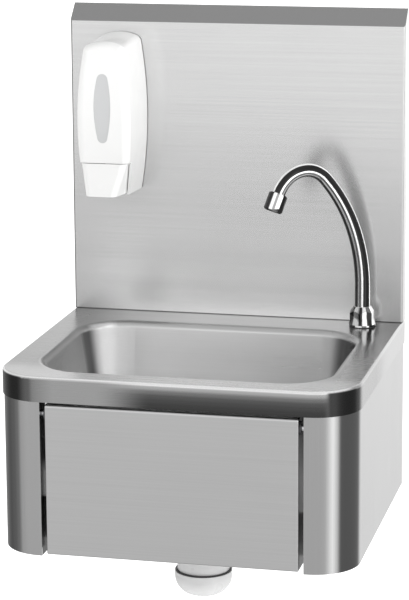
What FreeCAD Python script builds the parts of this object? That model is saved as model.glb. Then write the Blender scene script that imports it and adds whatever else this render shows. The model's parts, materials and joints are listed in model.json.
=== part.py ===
import FreeCAD, Part
import math
import os

# Knee-operated hand basin. Millimetres; +X right, +Y into the wall, +Z up.
# The origin is the middle of the two wall fixings, on the wall plane.

V = FreeCAD.Vector
UP = V(0, 0, 1)
DOWN = V(0, 0, -1)
RIGHT = V(1, 0, 0)
BACK = V(0, 1, 0)
FRONT = V(0, -1, 0)

# Clearances
SIDE_GAP = 0.3
BORE_GAP = 0.05
HOLE_GAP = 0.25

# Deck, skirt and casing
WIDTH = 400.0
DEPTH = 350.0
FIXING_DROP = 60.0
CORNER_RADIUS = 52.0
SKIRT_HEIGHT = 28.0
CASING_DROP = 202.0
CASING_TOP_DROP = 4.0
CASING_RETURN = 22.0
DECK_SHEET = 1.2
DECK_EDGE_RADIUS = 3.0
CASING_SHEET = 1.0

# Bowl, measured at the outside of its rolled rim
BOWL_SIDE_STRIP = 31.0
BOWL_FRONT_STRIP = 27.0
BOWL_BACK = 70.0
BOWL_CORNER = 60.0
BOWL_DEPTH = 130.0
BOWL_ROLL = 8.0
BOWL_DRAFT = 8.0
BOWL_FLOOR_RADIUS = 30.0

# Backsplash
SPLASH_DEPTH = 20.0
SPLASH_HEIGHT = 349.0
SPLASH_RISE = 19.0
SPLASH_SHEET = 1.0
SPLASH_EDGE_RADIUS = 2.5
SPLASH_SCREW_SPACING = 150.0
SPLASH_SCREW_RADIUS = 2.5
SPLASH_SCREW_HEAD = 4.6
SPLASH_SCREW_HEAD_HEIGHT = 3.0
SPLASH_NUT_FLATS = 8.0
SPLASH_NUT_HEIGHT = 4.0

# Wall rail and cross rail
FIXING_SPACING = 260.0
FIXING_HOLE_RADIUS = 4.5
RAIL_SHEET = 2.0
WALL_RAIL_HEIGHT = 78.0
WALL_RAIL_FLANGE = 26.0
CROSS_RAIL_SETBACK = 49.0
CROSS_RAIL_TOP_DROP = 149.0
CROSS_RAIL_HEIGHT = 48.0
CROSS_RAIL_TAB = 40.0
CROSS_RAIL_BEND = 14.0

# Knee panel and its pivots
KNEE_SIDE_STRIP = 60.0
KNEE_SIDE_GAP = 5.5
KNEE_TOP_GAP = 3.0
KNEE_BOTTOM_GAP = 2.0
KNEE_FLANGE = 29.0
KNEE_SHEET = 1.0
KNEE_TOP_RADIUS = 3.0
KNEE_EDGE_RADIUS = 1.5
KNEE_TRAVEL = 5.0
PIVOT_BELOW_TOP = 12.0
PIVOT_SETBACK = 10.5
PIVOT_PIN_RADIUS = 4.0
PIVOT_PIN_INSIDE = 5.0
PIVOT_HEAD_RADIUS = 6.5
PIVOT_HEAD_THICKNESS = 2.5
BUSH_WALL = 1.5
BUSH_COLLAR_RADIUS = 7.5
BUSH_COLLAR_THICKNESS = 2.0
BUSH_LENGTH = 3.0
BUFFER_INSET = 35.0
BUFFER_RADIUS = 9.0
BUFFER_DROP = 184.0
BUFFER_STEM_RADIUS = 3.0
BUFFER_KEEPER_RADIUS = 5.0
BUFFER_KEEPER_LENGTH = 3.0
PUSH_PAD_SIZE = 30.0
PUSH_PAD_THICKNESS = 2.0

# Self-closing valve, its axis along Y
VALVE_FROM_SPOUT = 81.0
VALVE_DROP = 167.0
VALVE_BODY_RADIUS = 15.0
VALVE_BODY_LENGTH = 66.0
VALVE_NECK_RADIUS = 11.0
VALVE_NECK_LENGTH = 8.0
VALVE_WALL = 3.0
VALVE_NUT_FLATS = 30.0
VALVE_NUT_HEIGHT = 6.0
PLUNGER_RADIUS = 5.0
PLUNGER_DEPTH = 40.0
PLUNGER_DISC_RADIUS = 9.0
PLUNGER_DISC_THICKNESS = 4.0
PLUNGER_CAP_RADIUS = 10.0
PLUNGER_CAP_THICKNESS = 6.0
PLUNGER_CAP_DOME = 30.0
RETURN_WIRE = 1.2
RETURN_COIL_RADIUS = 7.6
RETURN_TURNS = 6

# Mixing valve, its inlets towards the wall and its knob below
MIXER_BACK = 60.0
MIXER_LENGTH = 52.0
MIXER_WIDTH = 50.0
MIXER_HEIGHT = 32.0
MIXER_EDGE_RADIUS = 4.0
INLET_SPACING = 30.0
INLET_RADIUS = 8.3
INLET_LENGTH = 20.0
INLET_BORE = 5.0
KNOB_RADIUS = 16.0
KNOB_HEIGHT = 16.0
KNOB_FLUTES = 12
KNOB_FLUTE_RADIUS = 2.0
KNOB_STEM_RADIUS = 4.0
KNOB_STEM_LENGTH = 10.0
BRACKET_SHEET = 2.0
BRACKET_WIDTH = 44.0
BRACKET_OVERLAP = 30.0
BRACKET_SCREW_RADIUS = 2.5
BRACKET_SCREW_DEPTH = 8.0
BRACKET_SCREW_HEAD = 4.5
BRACKET_SCREW_HEAD_HEIGHT = 3.0
BRACKET_SCREW_SPACING = 30.0

# Held hoses
HOSE_RADIUS = 6.0
HOSE_BORE = 4.0
HOSE_BEND = 42.0
HOSE_NUT_FLATS = 19.0
HOSE_NUT_LENGTH = 14.0
PORT_RADIUS = 7.0
PORT_LENGTH = 10.0

# Swivel spout
SPOUT_FROM_EDGE = 44.0
SPOUT_BACK = 43.0
SPOUT_DIRECTION = 225.0
SPOUT_FOOT_RADIUS = 9.0
SPOUT_MOUTH_RADIUS = 7.3
SPOUT_WALL = 1.2
SPOUT_RISER = 46.0
SPOUT_SWEEP_RADIUS = 195.0
SPOUT_SWEEP = 43.5
SPOUT_ARCH_RADIUS = 38.5
SPOUT_TURN = 156.0
SPOUT_TAIL = 5.0
SPOUT_FOOT_DEPTH = 16.0
SPOUT_COLLAR_RADIUS = 15.5
SPOUT_COLLAR_HEIGHT = 2.0
SPOUT_NUT_FLATS = 27.0
SPOUT_NUT_HEIGHT = 21.0
SPOUT_NUT_TAPER = 8.0
SPOUT_NUT_LIP = 0.8
SPOUT_NUT_FLARE = 8.0
SPOUT_NUT_TURN = 30.0
SPOUT_SOCKET_WALL = 1.5
SHANK_RADIUS = 10.4
SHANK_LENGTH = 56.0
SHANK_BORE = 6.0
SHANK_WASHER_RADIUS = 17.0
SHANK_WASHER_THICKNESS = 2.5
SHANK_NUT_FLATS = 30.0
SHANK_NUT_HEIGHT = 7.0
BASE_GASKET_THICKNESS = 1.0
O_RING_WIRE = 1.6
AERATOR_RADIUS = 11.0
AERATOR_LENGTH = 21.0
AERATOR_OVERLAP = 4.0
AERATOR_WALL = 1.4
AERATOR_INSERT_LENGTH = 10.0
AERATOR_HOLE_RADIUS = 1.0

# Waste and bottle trap
WASTE_FLANGE_RADIUS = 36.0
WASTE_FLANGE_THICKNESS = 2.5
WASTE_HOLE_RADIUS = 24.0
WASTE_GASKET_THICKNESS = 1.5
WASTE_LOWER_GASKET = 3.0
WASTE_TAIL_RADIUS = 20.9
WASTE_TAIL_BORE = 18.0
WASTE_CUP_DEPTH = 14.0
WASTE_TAIL_LENGTH = 40.0
WASTE_SCREW_RADIUS = 3.0
WASTE_SCREW_HEAD = 6.0
WASTE_BRIDGE = 6.0
WASTE_SLOT_RADIUS = 3.0
WASTE_SLOT_RING = 13.0
WASTE_SLOT_COUNT = 8
TRAP_NUT_RADIUS = 28.0
TRAP_NUT_HEIGHT = 20.0
TRAP_NUT_RIBS = 16
TRAP_BODY_RADIUS = 30.0
TRAP_BODY_HEIGHT = 60.0
TRAP_WALL = 2.5
TRAP_CUP_RADIUS = 33.0
TRAP_CUP_HEIGHT = 28.0
TRAP_CUP_EDGE = 22.0
TRAP_CUP_SPIGOT = 12.0
TRAP_SEAL_HEIGHT = 1.5
DIP_COLLAR = 2.0
TRAP_NECK_HEIGHT = 6.0
TRAP_DIP_RADIUS = 16.0
TRAP_DIP_LENGTH = 74.0
TRAP_OUTLET_DROP = 24.0
TRAP_OUTLET_RADIUS = 20.0
TRAP_OUTLET_LENGTH = 16.0
TRAP_OUTLET_NUT_RADIUS = 25.0
TRAP_OUTLET_NUT_LENGTH = 18.0
WASTE_PIPE_RADIUS = 16.0
WASTE_PIPE_WALL = 1.8
WASTE_SPIGOT_STEP = 0.3
WASTE_PIPE_WALL_GAP = 2.0

# Soap dispenser
SOAP_FROM_EDGE = 61.5
SOAP_BELOW_SPLASH_TOP = 12.0
SOAP_HEIGHT = 190.0
SOAP_WIDTH = 63.5
SOAP_TOP_WIDTH = 49.0
SOAP_FOOT_WIDTH = 47.0
SOAP_WAIST = 105.0
SOAP_DEPTH = 87.0
SOAP_FRONT_BOW = 9.0
SOAP_BACK_GAP = 2.0
SOAP_CROWN = 6.0
SOAP_TOP_CORNER = 10.0
SOAP_FRONT_RADIUS = 9.0
SOAP_TOP_SLOPE = 3.0
SOAP_FOOT_RISE = 4.0
SOAP_FOOT_SLOPE = 4.0
SOAP_WALL = 2.2
LEVER_HEIGHT = 46.0
LEVER_SEAM = 0.8
LEVER_SIDE_DEPTH = 14.0
LEVER_FOOT_RISE = 9.0
LEVER_NOSE = 12.0
LEVER_NOSE_WIDTH = 34.0
LEVER_EDGE_RADIUS = 7.0
THUMB_DISH_RADIUS = 9.0
THUMB_DISH_DEPTH = 1.0
THUMB_DISH_RISE = 22.0
LEVER_REACH = 46.0
LEVER_PIVOT_SETBACK = 34.0
LEVER_PIVOT_BELOW_SEAM = 8.0
LEVER_PIN_RADIUS = 2.0
LEVER_PAD_SETBACK = 17.0
LEVER_PAD_WIDTH = 10.0
LEVER_PAD_HEIGHT = 3.0
LEVER_PAD_GAP = 0.4
PIN_BITE = 1.4
WINDOW_WIDTH = 20.0
WINDOW_HEIGHT = 80.0
WINDOW_RISE = 110.0
WINDOW_THICKNESS = 1.6
WINDOW_SINK = 0.4
WINDOW_END_RISE = 6.0
WINDOW_END_WIDTH = 13.0
WINDOW_FOOT_WIDTH = 12.0
PLATE_THICKNESS = 3.0
PLATE_WIDTH = 40.0
PLATE_RISE = 3.0
PLATE_TOP_DROP = 22.0
PLATE_SCREW_RADIUS = 2.0
PLATE_SCREW_HEAD = 4.0
PLATE_SCREW_HEAD_HEIGHT = 2.4
PLATE_SCREW_LENGTH = 9.0
PLATE_SCREW_SPACING_X = 28.0
PLATE_SCREW_SPACING_Z = 100.0
HINGE_SETBACK = 10.0
HINGE_RISE = 8.0
HINGE_PIN_RADIUS = 2.0
HINGE_EAR_RADIUS = 5.0
HINGE_EAR_THICKNESS = 4.0
RESERVOIR_WIDTH = 42.0
RESERVOIR_DEPTH = 52.0
RESERVOIR_RISE = 62.0
RESERVOIR_TOP_DROP = 22.0
RESERVOIR_WALL = 1.5
RESERVOIR_RADIUS = 8.0
RESERVOIR_NECK_RADIUS = 7.0
RESERVOIR_NECK_LENGTH = 20.0
FILL_RADIUS = 12.0
FILL_CAP_HEIGHT = 6.0
PUMP_RADIUS = 9.0
PUMP_RISE = 17.0
PUMP_LENGTH = 52.0
PUMP_WALL = 2.0
PUMP_STEM_RADIUS = 3.0
PUMP_STEM_INSIDE = 20.0
PUMP_BUTTON_RADIUS = 6.5
PUMP_BUTTON_THICKNESS = 2.5
PUMP_WIRE = 0.8
PUMP_COIL_RADIUS = 4.8
PUMP_TURNS = 5
NOZZLE_RADIUS = 4.0
NOZZLE_BORE = 1.5
NOZZLE_LENGTH = 7.0

# Heights and places worked out from the sizes above
DECK_Z = FIXING_DROP
DECK_UNDER = DECK_Z - DECK_SHEET
SKIRT_Z = DECK_Z - SKIRT_HEIGHT
CASING_Z = DECK_Z - CASING_DROP
CASING_INSET = DECK_SHEET + SIDE_GAP
CASING_HALF = WIDTH / 2 - CASING_INSET
CASING_FRONT = CASING_INSET - DEPTH
CASING_CORNER = CORNER_RADIUS - CASING_INSET
BOWL_LENGTH = WIDTH - 2 * BOWL_SIDE_STRIP
BOWL_BREADTH = DEPTH - BOWL_BACK - BOWL_FRONT_STRIP
BOWL_Y = -BOWL_BACK - BOWL_BREADTH / 2
BOWL_FLOOR_Z = DECK_Z - BOWL_DEPTH
DRAFT_TANGENT = math.tan(math.radians(BOWL_DRAFT))
ROLL_REACH = BOWL_ROLL * math.tan(math.radians(45 - BOWL_DRAFT / 2))
KNEE_HALF = WIDTH / 2 - KNEE_SIDE_STRIP
KNEE_WIDTH = 2 * KNEE_HALF
BUFFER_SPACING = KNEE_WIDTH - 2 * BUFFER_INSET
KNEE_EDGE_X = KNEE_HALF + KNEE_SIDE_GAP
KNEE_TOP_Z = SKIRT_Z - KNEE_TOP_GAP
KNEE_BOTTOM_Z = CASING_Z + KNEE_BOTTOM_GAP
KNEE_INNER_Y = CASING_FRONT + KNEE_SHEET
PIVOT_Y = CASING_FRONT + PIVOT_SETBACK
PIVOT_Z = KNEE_TOP_Z - PIVOT_BELOW_TOP
CROSS_RAIL_Y = CROSS_RAIL_SETBACK - DEPTH
VALVE_Z = DECK_Z - VALVE_DROP
BUFFER_Z = DECK_Z - BUFFER_DROP
SPOUT_X = WIDTH / 2 - SPOUT_FROM_EDGE
SPOUT_Y = -SPOUT_BACK
VALVE_X = SPOUT_X - VALVE_FROM_SPOUT
MIXER_X = VALVE_X
SOAP_X = SOAP_FROM_EDGE - WIDTH / 2
SPLASH_Y = -SPLASH_DEPTH
VALVE_FRONT_Y = CROSS_RAIL_Y + RAIL_SHEET
VALVE_REAR_Y = VALVE_FRONT_Y + VALVE_BODY_LENGTH
VALVE_NECK_Y = CROSS_RAIL_Y - VALVE_NECK_LENGTH
VALVE_OUTLET_Y = VALVE_REAR_Y - PORT_RADIUS - VALVE_WALL - HOSE_NUT_FLATS / 4
CAP_FRONT_Y = KNEE_INNER_Y + PUSH_PAD_THICKNESS + SIDE_GAP
CAP_REAR_Y = CAP_FRONT_Y + PLUNGER_CAP_THICKNESS
MIXER_TOP_Z = VALVE_Z + MIXER_HEIGHT / 2
MIXER_BOTTOM_Z = VALVE_Z - MIXER_HEIGHT / 2
MIXER_FRONT_Y = -MIXER_BACK - MIXER_LENGTH
MIXER_MIDDLE_Y = -MIXER_BACK - MIXER_LENGTH / 2
RAIL_BOTTOM_Z = DECK_UNDER - WALL_RAIL_HEIGHT
SHANK_END_Z = DECK_Z - SHANK_LENGTH
MIXER_PORT_Y = MIXER_FRONT_Y - PORT_LENGTH
VALVE_PORT_Y = VALVE_REAR_Y + PORT_LENGTH
VALVE_PORT_X = VALVE_X + VALVE_BODY_RADIUS + PORT_LENGTH
COLLAR_Z = DECK_Z + BASE_GASKET_THICKNESS
COLLAR_TOP_Z = COLLAR_Z + SPOUT_COLLAR_HEIGHT
SOCKET_RADIUS = SPOUT_FOOT_RADIUS + BORE_GAP
SOCKET_OUTER = SOCKET_RADIUS + SPOUT_SOCKET_WALL
SOCKET_TOP_Z = COLLAR_TOP_Z + SPOUT_FOOT_DEPTH
FOOT_Z = COLLAR_TOP_Z + SIDE_GAP
SPOUT_WAY = V(math.cos(math.radians(SPOUT_DIRECTION)), math.sin(math.radians(SPOUT_DIRECTION)), 0)
AERATOR_BACK = SPOUT_MOUTH_RADIUS + SIDE_GAP
STRAINER_Z = BOWL_FLOOR_Z + WASTE_GASKET_THICKNESS
BOWL_UNDER_Z = BOWL_FLOOR_Z - DECK_SHEET
WASTE_BODY_Z = BOWL_UNDER_Z - WASTE_LOWER_GASKET
WASTE_CUP_Z = WASTE_BODY_Z - WASTE_CUP_DEPTH
WASTE_END_Z = WASTE_CUP_Z - WASTE_TAIL_LENGTH
BRIDGE_Z = WASTE_CUP_Z - WASTE_BRIDGE
TRAP_NECK_Z = WASTE_END_Z - DIP_COLLAR
TRAP_TOP_Z = TRAP_NECK_Z - TRAP_NECK_HEIGHT
TRAP_END_Z = TRAP_TOP_Z - TRAP_BODY_HEIGHT
TRAP_NECK_RADIUS = WASTE_TAIL_RADIUS + TRAP_WALL
CUP_TOP_Z = TRAP_END_Z - TRAP_SEAL_HEIGHT
OUTLET_Z = TRAP_TOP_Z - TRAP_OUTLET_DROP
SOAP_Z = DECK_Z + SPLASH_HEIGHT - SOAP_BELOW_SPLASH_TOP - SOAP_HEIGHT
SOAP_BACK_Y = SPLASH_Y - SOAP_BACK_GAP
SOAP_FRONT_Y = SPLASH_Y - SOAP_DEPTH
SOAP_SIDE_TOP = SOAP_HEIGHT - SOAP_CROWN
PLATE_FRONT_Y = SPLASH_Y - PLATE_THICKNESS
SEAM_RISE = LEVER_HEIGHT
LEVER_TOP_RISE = SEAM_RISE - LEVER_SEAM
DRUM_RADIUS = (SOAP_HEIGHT / 2) ** 2 / (2 * SOAP_FRONT_BOW) + SOAP_FRONT_BOW / 2
LEVER_INSET = SOAP_WALL + SIDE_GAP
LEVER_PIVOT_Y = SOAP_FRONT_Y + LEVER_PIVOT_SETBACK
LEVER_PIVOT_RISE = SEAM_RISE - LEVER_SEAM - LEVER_PIVOT_BELOW_SEAM
HINGE_Y = SPLASH_Y - HINGE_SETBACK
PUMP_FRONT_Y = PLATE_FRONT_Y - PUMP_LENGTH
PAD_Y = SOAP_FRONT_Y + LEVER_PAD_SETBACK
BUTTON_Y = PAD_Y + LEVER_PAD_GAP
RESERVOIR_TOP_RISE = SOAP_HEIGHT - RESERVOIR_TOP_DROP
RESERVOIR_MIDDLE_Y = PLATE_FRONT_Y - RESERVOIR_DEPTH / 2
NECK_END_RISE = RESERVOIR_RISE - RESERVOIR_NECK_LENGTH

os.makedirs("parts", exist_ok=True)


def save(name, shape):
    shape.exportStep("parts/" + name + ".step")


def box(x0, x1, y0, y1, z0, z1):
    return Part.makeBox(x1 - x0, y1 - y0, z1 - z0, V(x0, y0, z0))


def rod(start, direction, radius, length):
    return Part.makeCylinder(radius, length, start, direction)


def tube(start, direction, outer, inner, length):
    bore = rod(start - direction, direction, inner, length + 2)
    return rod(start, direction, outer, length).cut(bore)


def cone(start, direction, start_radius, end_radius, length):
    return Part.makeCone(start_radius, end_radius, length, start, direction)


def polygon_prism(points, travel):
    return Part.Face(Part.makePolygon(points + [points[0]])).extrude(travel)


def hex_prism(start, direction, flats, height, turn):
    across = V(1, 0, 0) if abs(direction.x) < 0.5 else V(0, 1, 0)
    other = direction.cross(across)
    corner = flats / math.sqrt(3)
    points = []
    for step in range(6):
        angle = math.radians(60 * step + turn)
        points.append(start + across * (corner * math.cos(angle)) + other * (corner * math.sin(angle)))
    return polygon_prism(points, direction * height)


def hex_nut(start, direction, flats, bore, height):
    blank = hex_prism(start, direction, flats, height, 0)
    corner = flats / math.sqrt(3)
    slope = corner - flats / 2
    lead_in = corner - 1.2 * slope
    top = cone(start + direction * (height - slope), direction, corner, lead_in, slope)
    bottom = cone(start, direction, lead_in, corner, slope)
    middle = rod(start + direction * slope, direction, corner, height - 2 * slope)
    rounded = joined([top, middle, bottom])
    return blank.common(rounded).cut(rod(start - direction, direction, bore, height + 2))


def turned(centre, outline):
    """A solid turned about the vertical through centre, from (radius, height) points."""
    points = [centre + V(radius, 0, height) for radius, height in outline]
    face = Part.Face(Part.makePolygon(points + [points[0]]))
    return face.revolve(centre, UP, 360)


def arc(first, middle, last):
    return Part.Arc(first, middle, last).toShape()


def line(first, last):
    return Part.LineSegment(first, last).toShape()


def mirror_x(shape):
    return shape.mirror(V(0, 0, 0), RIGHT)


def fillet_where(shape, radius, wanted):
    edges = [edge for edge in shape.Edges if wanted(edge.BoundBox)]
    return shape.makeFillet(radius, edges)


def near(value, target):
    return abs(value - target) < 1e-4


def joined(shapes):
    return shapes[0].fuse(shapes[1:]).removeSplitter()


def plan_prism(half_width, back_y, front_y, corner, z0, z1):
    cut_in = corner * (1 - math.sqrt(0.5))
    left_back = V(-half_width, back_y, z0)
    left_front = V(-half_width, front_y + corner, z0)
    front_left = V(-half_width + corner, front_y, z0)
    front_right = V(half_width - corner, front_y, z0)
    right_front = V(half_width, front_y + corner, z0)
    right_back = V(half_width, back_y, z0)
    edges = [
        line(left_back, left_front),
        arc(left_front, V(-half_width + cut_in, front_y + cut_in, z0), front_left),
        line(front_left, front_right),
        arc(front_right, V(half_width - cut_in, front_y + cut_in, z0), right_front),
        line(right_front, right_back),
        line(right_back, left_back),
    ]
    return Part.Face(Part.Wire(edges)).extrude(V(0, 0, z1 - z0))


def rounded_wire(half_x, half_y, corner, centre):
    cut_in = corner * (1 - math.sqrt(0.5))
    edges = []
    for sign_x, sign_y in ((1, 1), (-1, 1), (-1, -1), (1, -1)):
        along = centre + V(sign_x * half_x, sign_y * (half_y - corner), 0)
        middle = centre + V(sign_x * (half_x - cut_in), sign_y * (half_y - cut_in), 0)
        across = centre + V(sign_x * (half_x - corner), sign_y * half_y, 0)
        first, last = (along, across) if sign_x * sign_y > 0 else (across, along)
        if edges:
            edges.append(line(edges[-1].Vertexes[-1].Point, first))
        edges.append(arc(first, middle, last))
    edges.append(line(edges[-1].Vertexes[-1].Point, edges[0].Vertexes[0].Point))
    return Part.Wire(edges)


def bowl_cavity(offset):
    lift = 2.0
    floor_z = BOWL_FLOOR_Z - offset
    grow = offset / math.cos(math.radians(BOWL_DRAFT))
    sections = []
    for z in (DECK_Z + lift, floor_z):
        change = grow - ROLL_REACH + (z - DECK_Z) * DRAFT_TANGENT
        centre = V(0, BOWL_Y, z)
        half_x = BOWL_LENGTH / 2 + change
        half_y = BOWL_BREADTH / 2 + change
        sections.append(rounded_wire(half_x, half_y, BOWL_CORNER + change, centre))
    cavity = Part.makeLoft(sections, True, True)
    return fillet_where(cavity, BOWL_FLOOR_RADIUS + offset, lambda b: near(b.ZMax, floor_z))


def deck_form(offset, bottom_z):
    """The deck's skin moved inwards by offset, filled solid, with the bowl hollowed out."""
    top_z = DECK_Z - offset
    back_y = offset
    block = plan_prism(WIDTH / 2 - offset, back_y, offset - DEPTH, CORNER_RADIUS - offset, bottom_z, top_z)
    block = fillet_where(
        block,
        DECK_EDGE_RADIUS - offset,
        lambda b: near(b.ZMin, top_z) and not near(b.YMin, back_y),
    )
    hollow = block.cut(bowl_cavity(offset))
    rim_limit = DECK_EDGE_RADIUS + 1 - DEPTH
    return fillet_where(
        hollow,
        BOWL_ROLL - offset,
        lambda b: near(b.ZMin, top_z) and b.YMin > rim_limit and b.YMax < -BOWL_BACK / 2
        and b.XMax < WIDTH / 2 - DECK_EDGE_RADIUS - 1 and b.XMin > DECK_EDGE_RADIUS + 1 - WIDTH / 2,
    )


def splash_screw_places():
    return [V(step * SPLASH_SCREW_SPACING, SPLASH_Y / 2, DECK_Z) for step in (-1, 0, 1)]


def deck_and_bowl():
    low_z = BOWL_FLOOR_Z - 10
    sheet = deck_form(0, low_z).cut(deck_form(DECK_SHEET, low_z - 1))
    skirt_zone = box(-WIDTH, WIDTH, -DEPTH - 1, 1, SKIRT_Z, DECK_Z + 1)
    bowl_half = BOWL_LENGTH / 2 + DECK_SHEET
    bowl_front = -BOWL_BACK - BOWL_BREADTH - DECK_SHEET
    bowl_zone = box(-bowl_half, bowl_half, bowl_front, DECK_SHEET - BOWL_BACK, low_z, DECK_Z)
    sheet = sheet.common(skirt_zone.fuse(bowl_zone))
    holes = [rod(V(0, BOWL_Y, low_z), UP, WASTE_HOLE_RADIUS, BOWL_DEPTH)]
    holes.append(rod(V(SPOUT_X, SPOUT_Y, SKIRT_Z), UP, SHANK_RADIUS + HOLE_GAP, SKIRT_HEIGHT + 1))
    for place in splash_screw_places():
        holes.append(rod(place - UP * SKIRT_HEIGHT, UP, SPLASH_SCREW_RADIUS + HOLE_GAP, SKIRT_HEIGHT + 1))
    return sheet.cut(holes)


def splash_prism(half, front_y, floor_z, shift):
    top_front = DECK_Z + SPLASH_HEIGHT - shift
    top_back = top_front + SPLASH_RISE * (shift - front_y) / SPLASH_DEPTH
    points = [
        V(-half, shift, floor_z),
        V(-half, front_y, floor_z),
        V(-half, front_y, top_front),
        V(-half, shift, top_back),
    ]
    return polygon_prism(points, V(2 * half, 0, 0))


def plate_screw_places():
    middle_z = SOAP_Z + SOAP_HEIGHT / 2
    places = []
    for side in (-1, 1):
        for level in (-1, 1):
            x = SOAP_X + side * PLATE_SCREW_SPACING_X / 2
            places.append(V(x, SPLASH_Y, middle_z + level * PLATE_SCREW_SPACING_Z / 2))
    return places


def backsplash():
    outer = splash_prism(WIDTH / 2, SPLASH_Y, DECK_Z, 0)
    outer = fillet_where(
        outer,
        SPLASH_EDGE_RADIUS,
        lambda b: near(b.YMin, SPLASH_Y) and near(b.YMax, SPLASH_Y) and b.ZMax > DECK_Z + 1,
    )
    inner = splash_prism(
        WIDTH / 2 - SPLASH_SHEET, SPLASH_Y + SPLASH_SHEET, DECK_Z + SPLASH_SHEET, SPLASH_SHEET
    )
    shell = outer.cut(inner)
    holes = []
    for place in splash_screw_places():
        holes.append(rod(place - UP, UP, SPLASH_SCREW_RADIUS + HOLE_GAP, SPLASH_SHEET + 2))
    for place in plate_screw_places():
        holes.append(rod(place + FRONT, BACK, PLATE_SCREW_RADIUS + HOLE_GAP, SPLASH_SHEET + 2))
    return shell.cut(holes)


def splash_screws():
    screws = []
    under = DECK_UNDER - RAIL_SHEET
    reach = DECK_Z + SPLASH_SHEET + SPLASH_NUT_HEIGHT + 1 - under
    for place in splash_screw_places():
        seat = V(place.x, place.y, under)
        head = rod(seat, DOWN, SPLASH_SCREW_HEAD, SPLASH_SCREW_HEAD_HEIGHT)
        slot_half = SPLASH_SCREW_HEAD / 6
        slot = box(
            seat.x - SPLASH_SCREW_HEAD, seat.x + SPLASH_SCREW_HEAD, seat.y - slot_half, seat.y + slot_half,
            under - SPLASH_SCREW_HEAD_HEIGHT, under - SPLASH_SCREW_HEAD_HEIGHT / 2,
        )
        screws.append(head.cut(slot).fuse(rod(seat, UP, SPLASH_SCREW_RADIUS, reach)))
    return Part.makeCompound(screws)


def splash_nuts():
    nuts = []
    for place in splash_screw_places():
        seat = place + UP * SPLASH_SHEET
        nuts.append(hex_nut(seat, UP, SPLASH_NUT_FLATS, SPLASH_SCREW_RADIUS + BORE_GAP, SPLASH_NUT_HEIGHT))
    return Part.makeCompound(nuts)


def pivot_place(side):
    return V(side * KNEE_EDGE_X, PIVOT_Y, PIVOT_Z)


def right_side_panel():
    inner_half = CASING_HALF - CASING_SHEET
    inner_front = CASING_FRONT + CASING_SHEET
    inner_corner = CASING_CORNER - CASING_SHEET
    corner_y = CASING_FRONT + CASING_CORNER
    corner_x = CASING_HALF - CASING_CORNER
    return_y = CASING_FRONT + CASING_RETURN
    diagonal = math.sqrt(0.5)
    z = CASING_Z
    outer_middle = V(corner_x + CASING_CORNER * diagonal, corner_y - CASING_CORNER * diagonal, z)
    inner_middle = V(corner_x + inner_corner * diagonal, corner_y - inner_corner * diagonal, z)
    edges = [
        line(V(CASING_HALF, 0, z), V(CASING_HALF, corner_y, z)),
        arc(V(CASING_HALF, corner_y, z), outer_middle, V(corner_x, CASING_FRONT, z)),
        line(V(corner_x, CASING_FRONT, z), V(KNEE_EDGE_X, CASING_FRONT, z)),
        line(V(KNEE_EDGE_X, CASING_FRONT, z), V(KNEE_EDGE_X, return_y, z)),
        line(V(KNEE_EDGE_X, return_y, z), V(KNEE_EDGE_X + CASING_SHEET, return_y, z)),
        line(V(KNEE_EDGE_X + CASING_SHEET, return_y, z), V(KNEE_EDGE_X + CASING_SHEET, inner_front, z)),
        line(V(KNEE_EDGE_X + CASING_SHEET, inner_front, z), V(corner_x, inner_front, z)),
        arc(V(corner_x, inner_front, z), inner_middle, V(inner_half, corner_y, z)),
        line(V(inner_half, corner_y, z), V(inner_half, 0, z)),
        line(V(inner_half, 0, z), V(CASING_HALF, 0, z)),
    ]
    height = CASING_DROP - CASING_TOP_DROP
    panel = Part.Face(Part.Wire(edges)).extrude(UP * height)
    hole = rod(pivot_place(1) - RIGHT, RIGHT, PIVOT_PIN_RADIUS + BORE_GAP, CASING_SHEET + 2)
    return panel.cut(hole)


def wall_rail():
    half = CASING_HALF - CASING_SHEET - DECK_EDGE_RADIUS
    plate = box(-half, half, -RAIL_SHEET, 0, DECK_UNDER - WALL_RAIL_HEIGHT, DECK_UNDER)
    flange = box(-half, half, -WALL_RAIL_FLANGE, 0, DECK_UNDER - RAIL_SHEET, DECK_UNDER)
    holes = []
    for side in (-1, 1):
        place = V(side * FIXING_SPACING / 2, 1, 0)
        holes.append(rod(place, FRONT, FIXING_HOLE_RADIUS, RAIL_SHEET + 2))
    for place in splash_screw_places():
        holes.append(rod(place - UP * SKIRT_HEIGHT, UP, SPLASH_SCREW_RADIUS + HOLE_GAP, SKIRT_HEIGHT))
    for level in bracket_rail_levels():
        holes.append(rod(V(MIXER_X, 1, level), FRONT, BRACKET_SCREW_RADIUS + HOLE_GAP, RAIL_SHEET + 2))
    return joined([plate, flange]).cut(holes)


def buffer_places():
    return [V(side * BUFFER_SPACING / 2, CROSS_RAIL_Y, BUFFER_Z) for side in (-1, 1)]


def cross_rail():
    half = CASING_HALF - CASING_SHEET - SIDE_GAP
    top_z = DECK_Z - CROSS_RAIL_TOP_DROP
    bottom_z = top_z - CROSS_RAIL_HEIGHT
    tab_y = CROSS_RAIL_Y + CROSS_RAIL_TAB
    outer = plan_prism(half, tab_y, CROSS_RAIL_Y, CROSS_RAIL_BEND, bottom_z, top_z)
    inner = plan_prism(
        half - RAIL_SHEET, tab_y + 1, CROSS_RAIL_Y + RAIL_SHEET, CROSS_RAIL_BEND - RAIL_SHEET,
        bottom_z - 1, top_z + 1,
    )
    rail = outer.cut(inner)
    holes = [rod(V(VALVE_X, CROSS_RAIL_Y - 1, VALVE_Z), BACK, VALVE_NECK_RADIUS + HOLE_GAP, RAIL_SHEET + 2)]
    for place in buffer_places():
        holes.append(rod(place + FRONT, BACK, BUFFER_STEM_RADIUS + BORE_GAP, RAIL_SHEET + 2))
    return rail.cut(holes)


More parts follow.
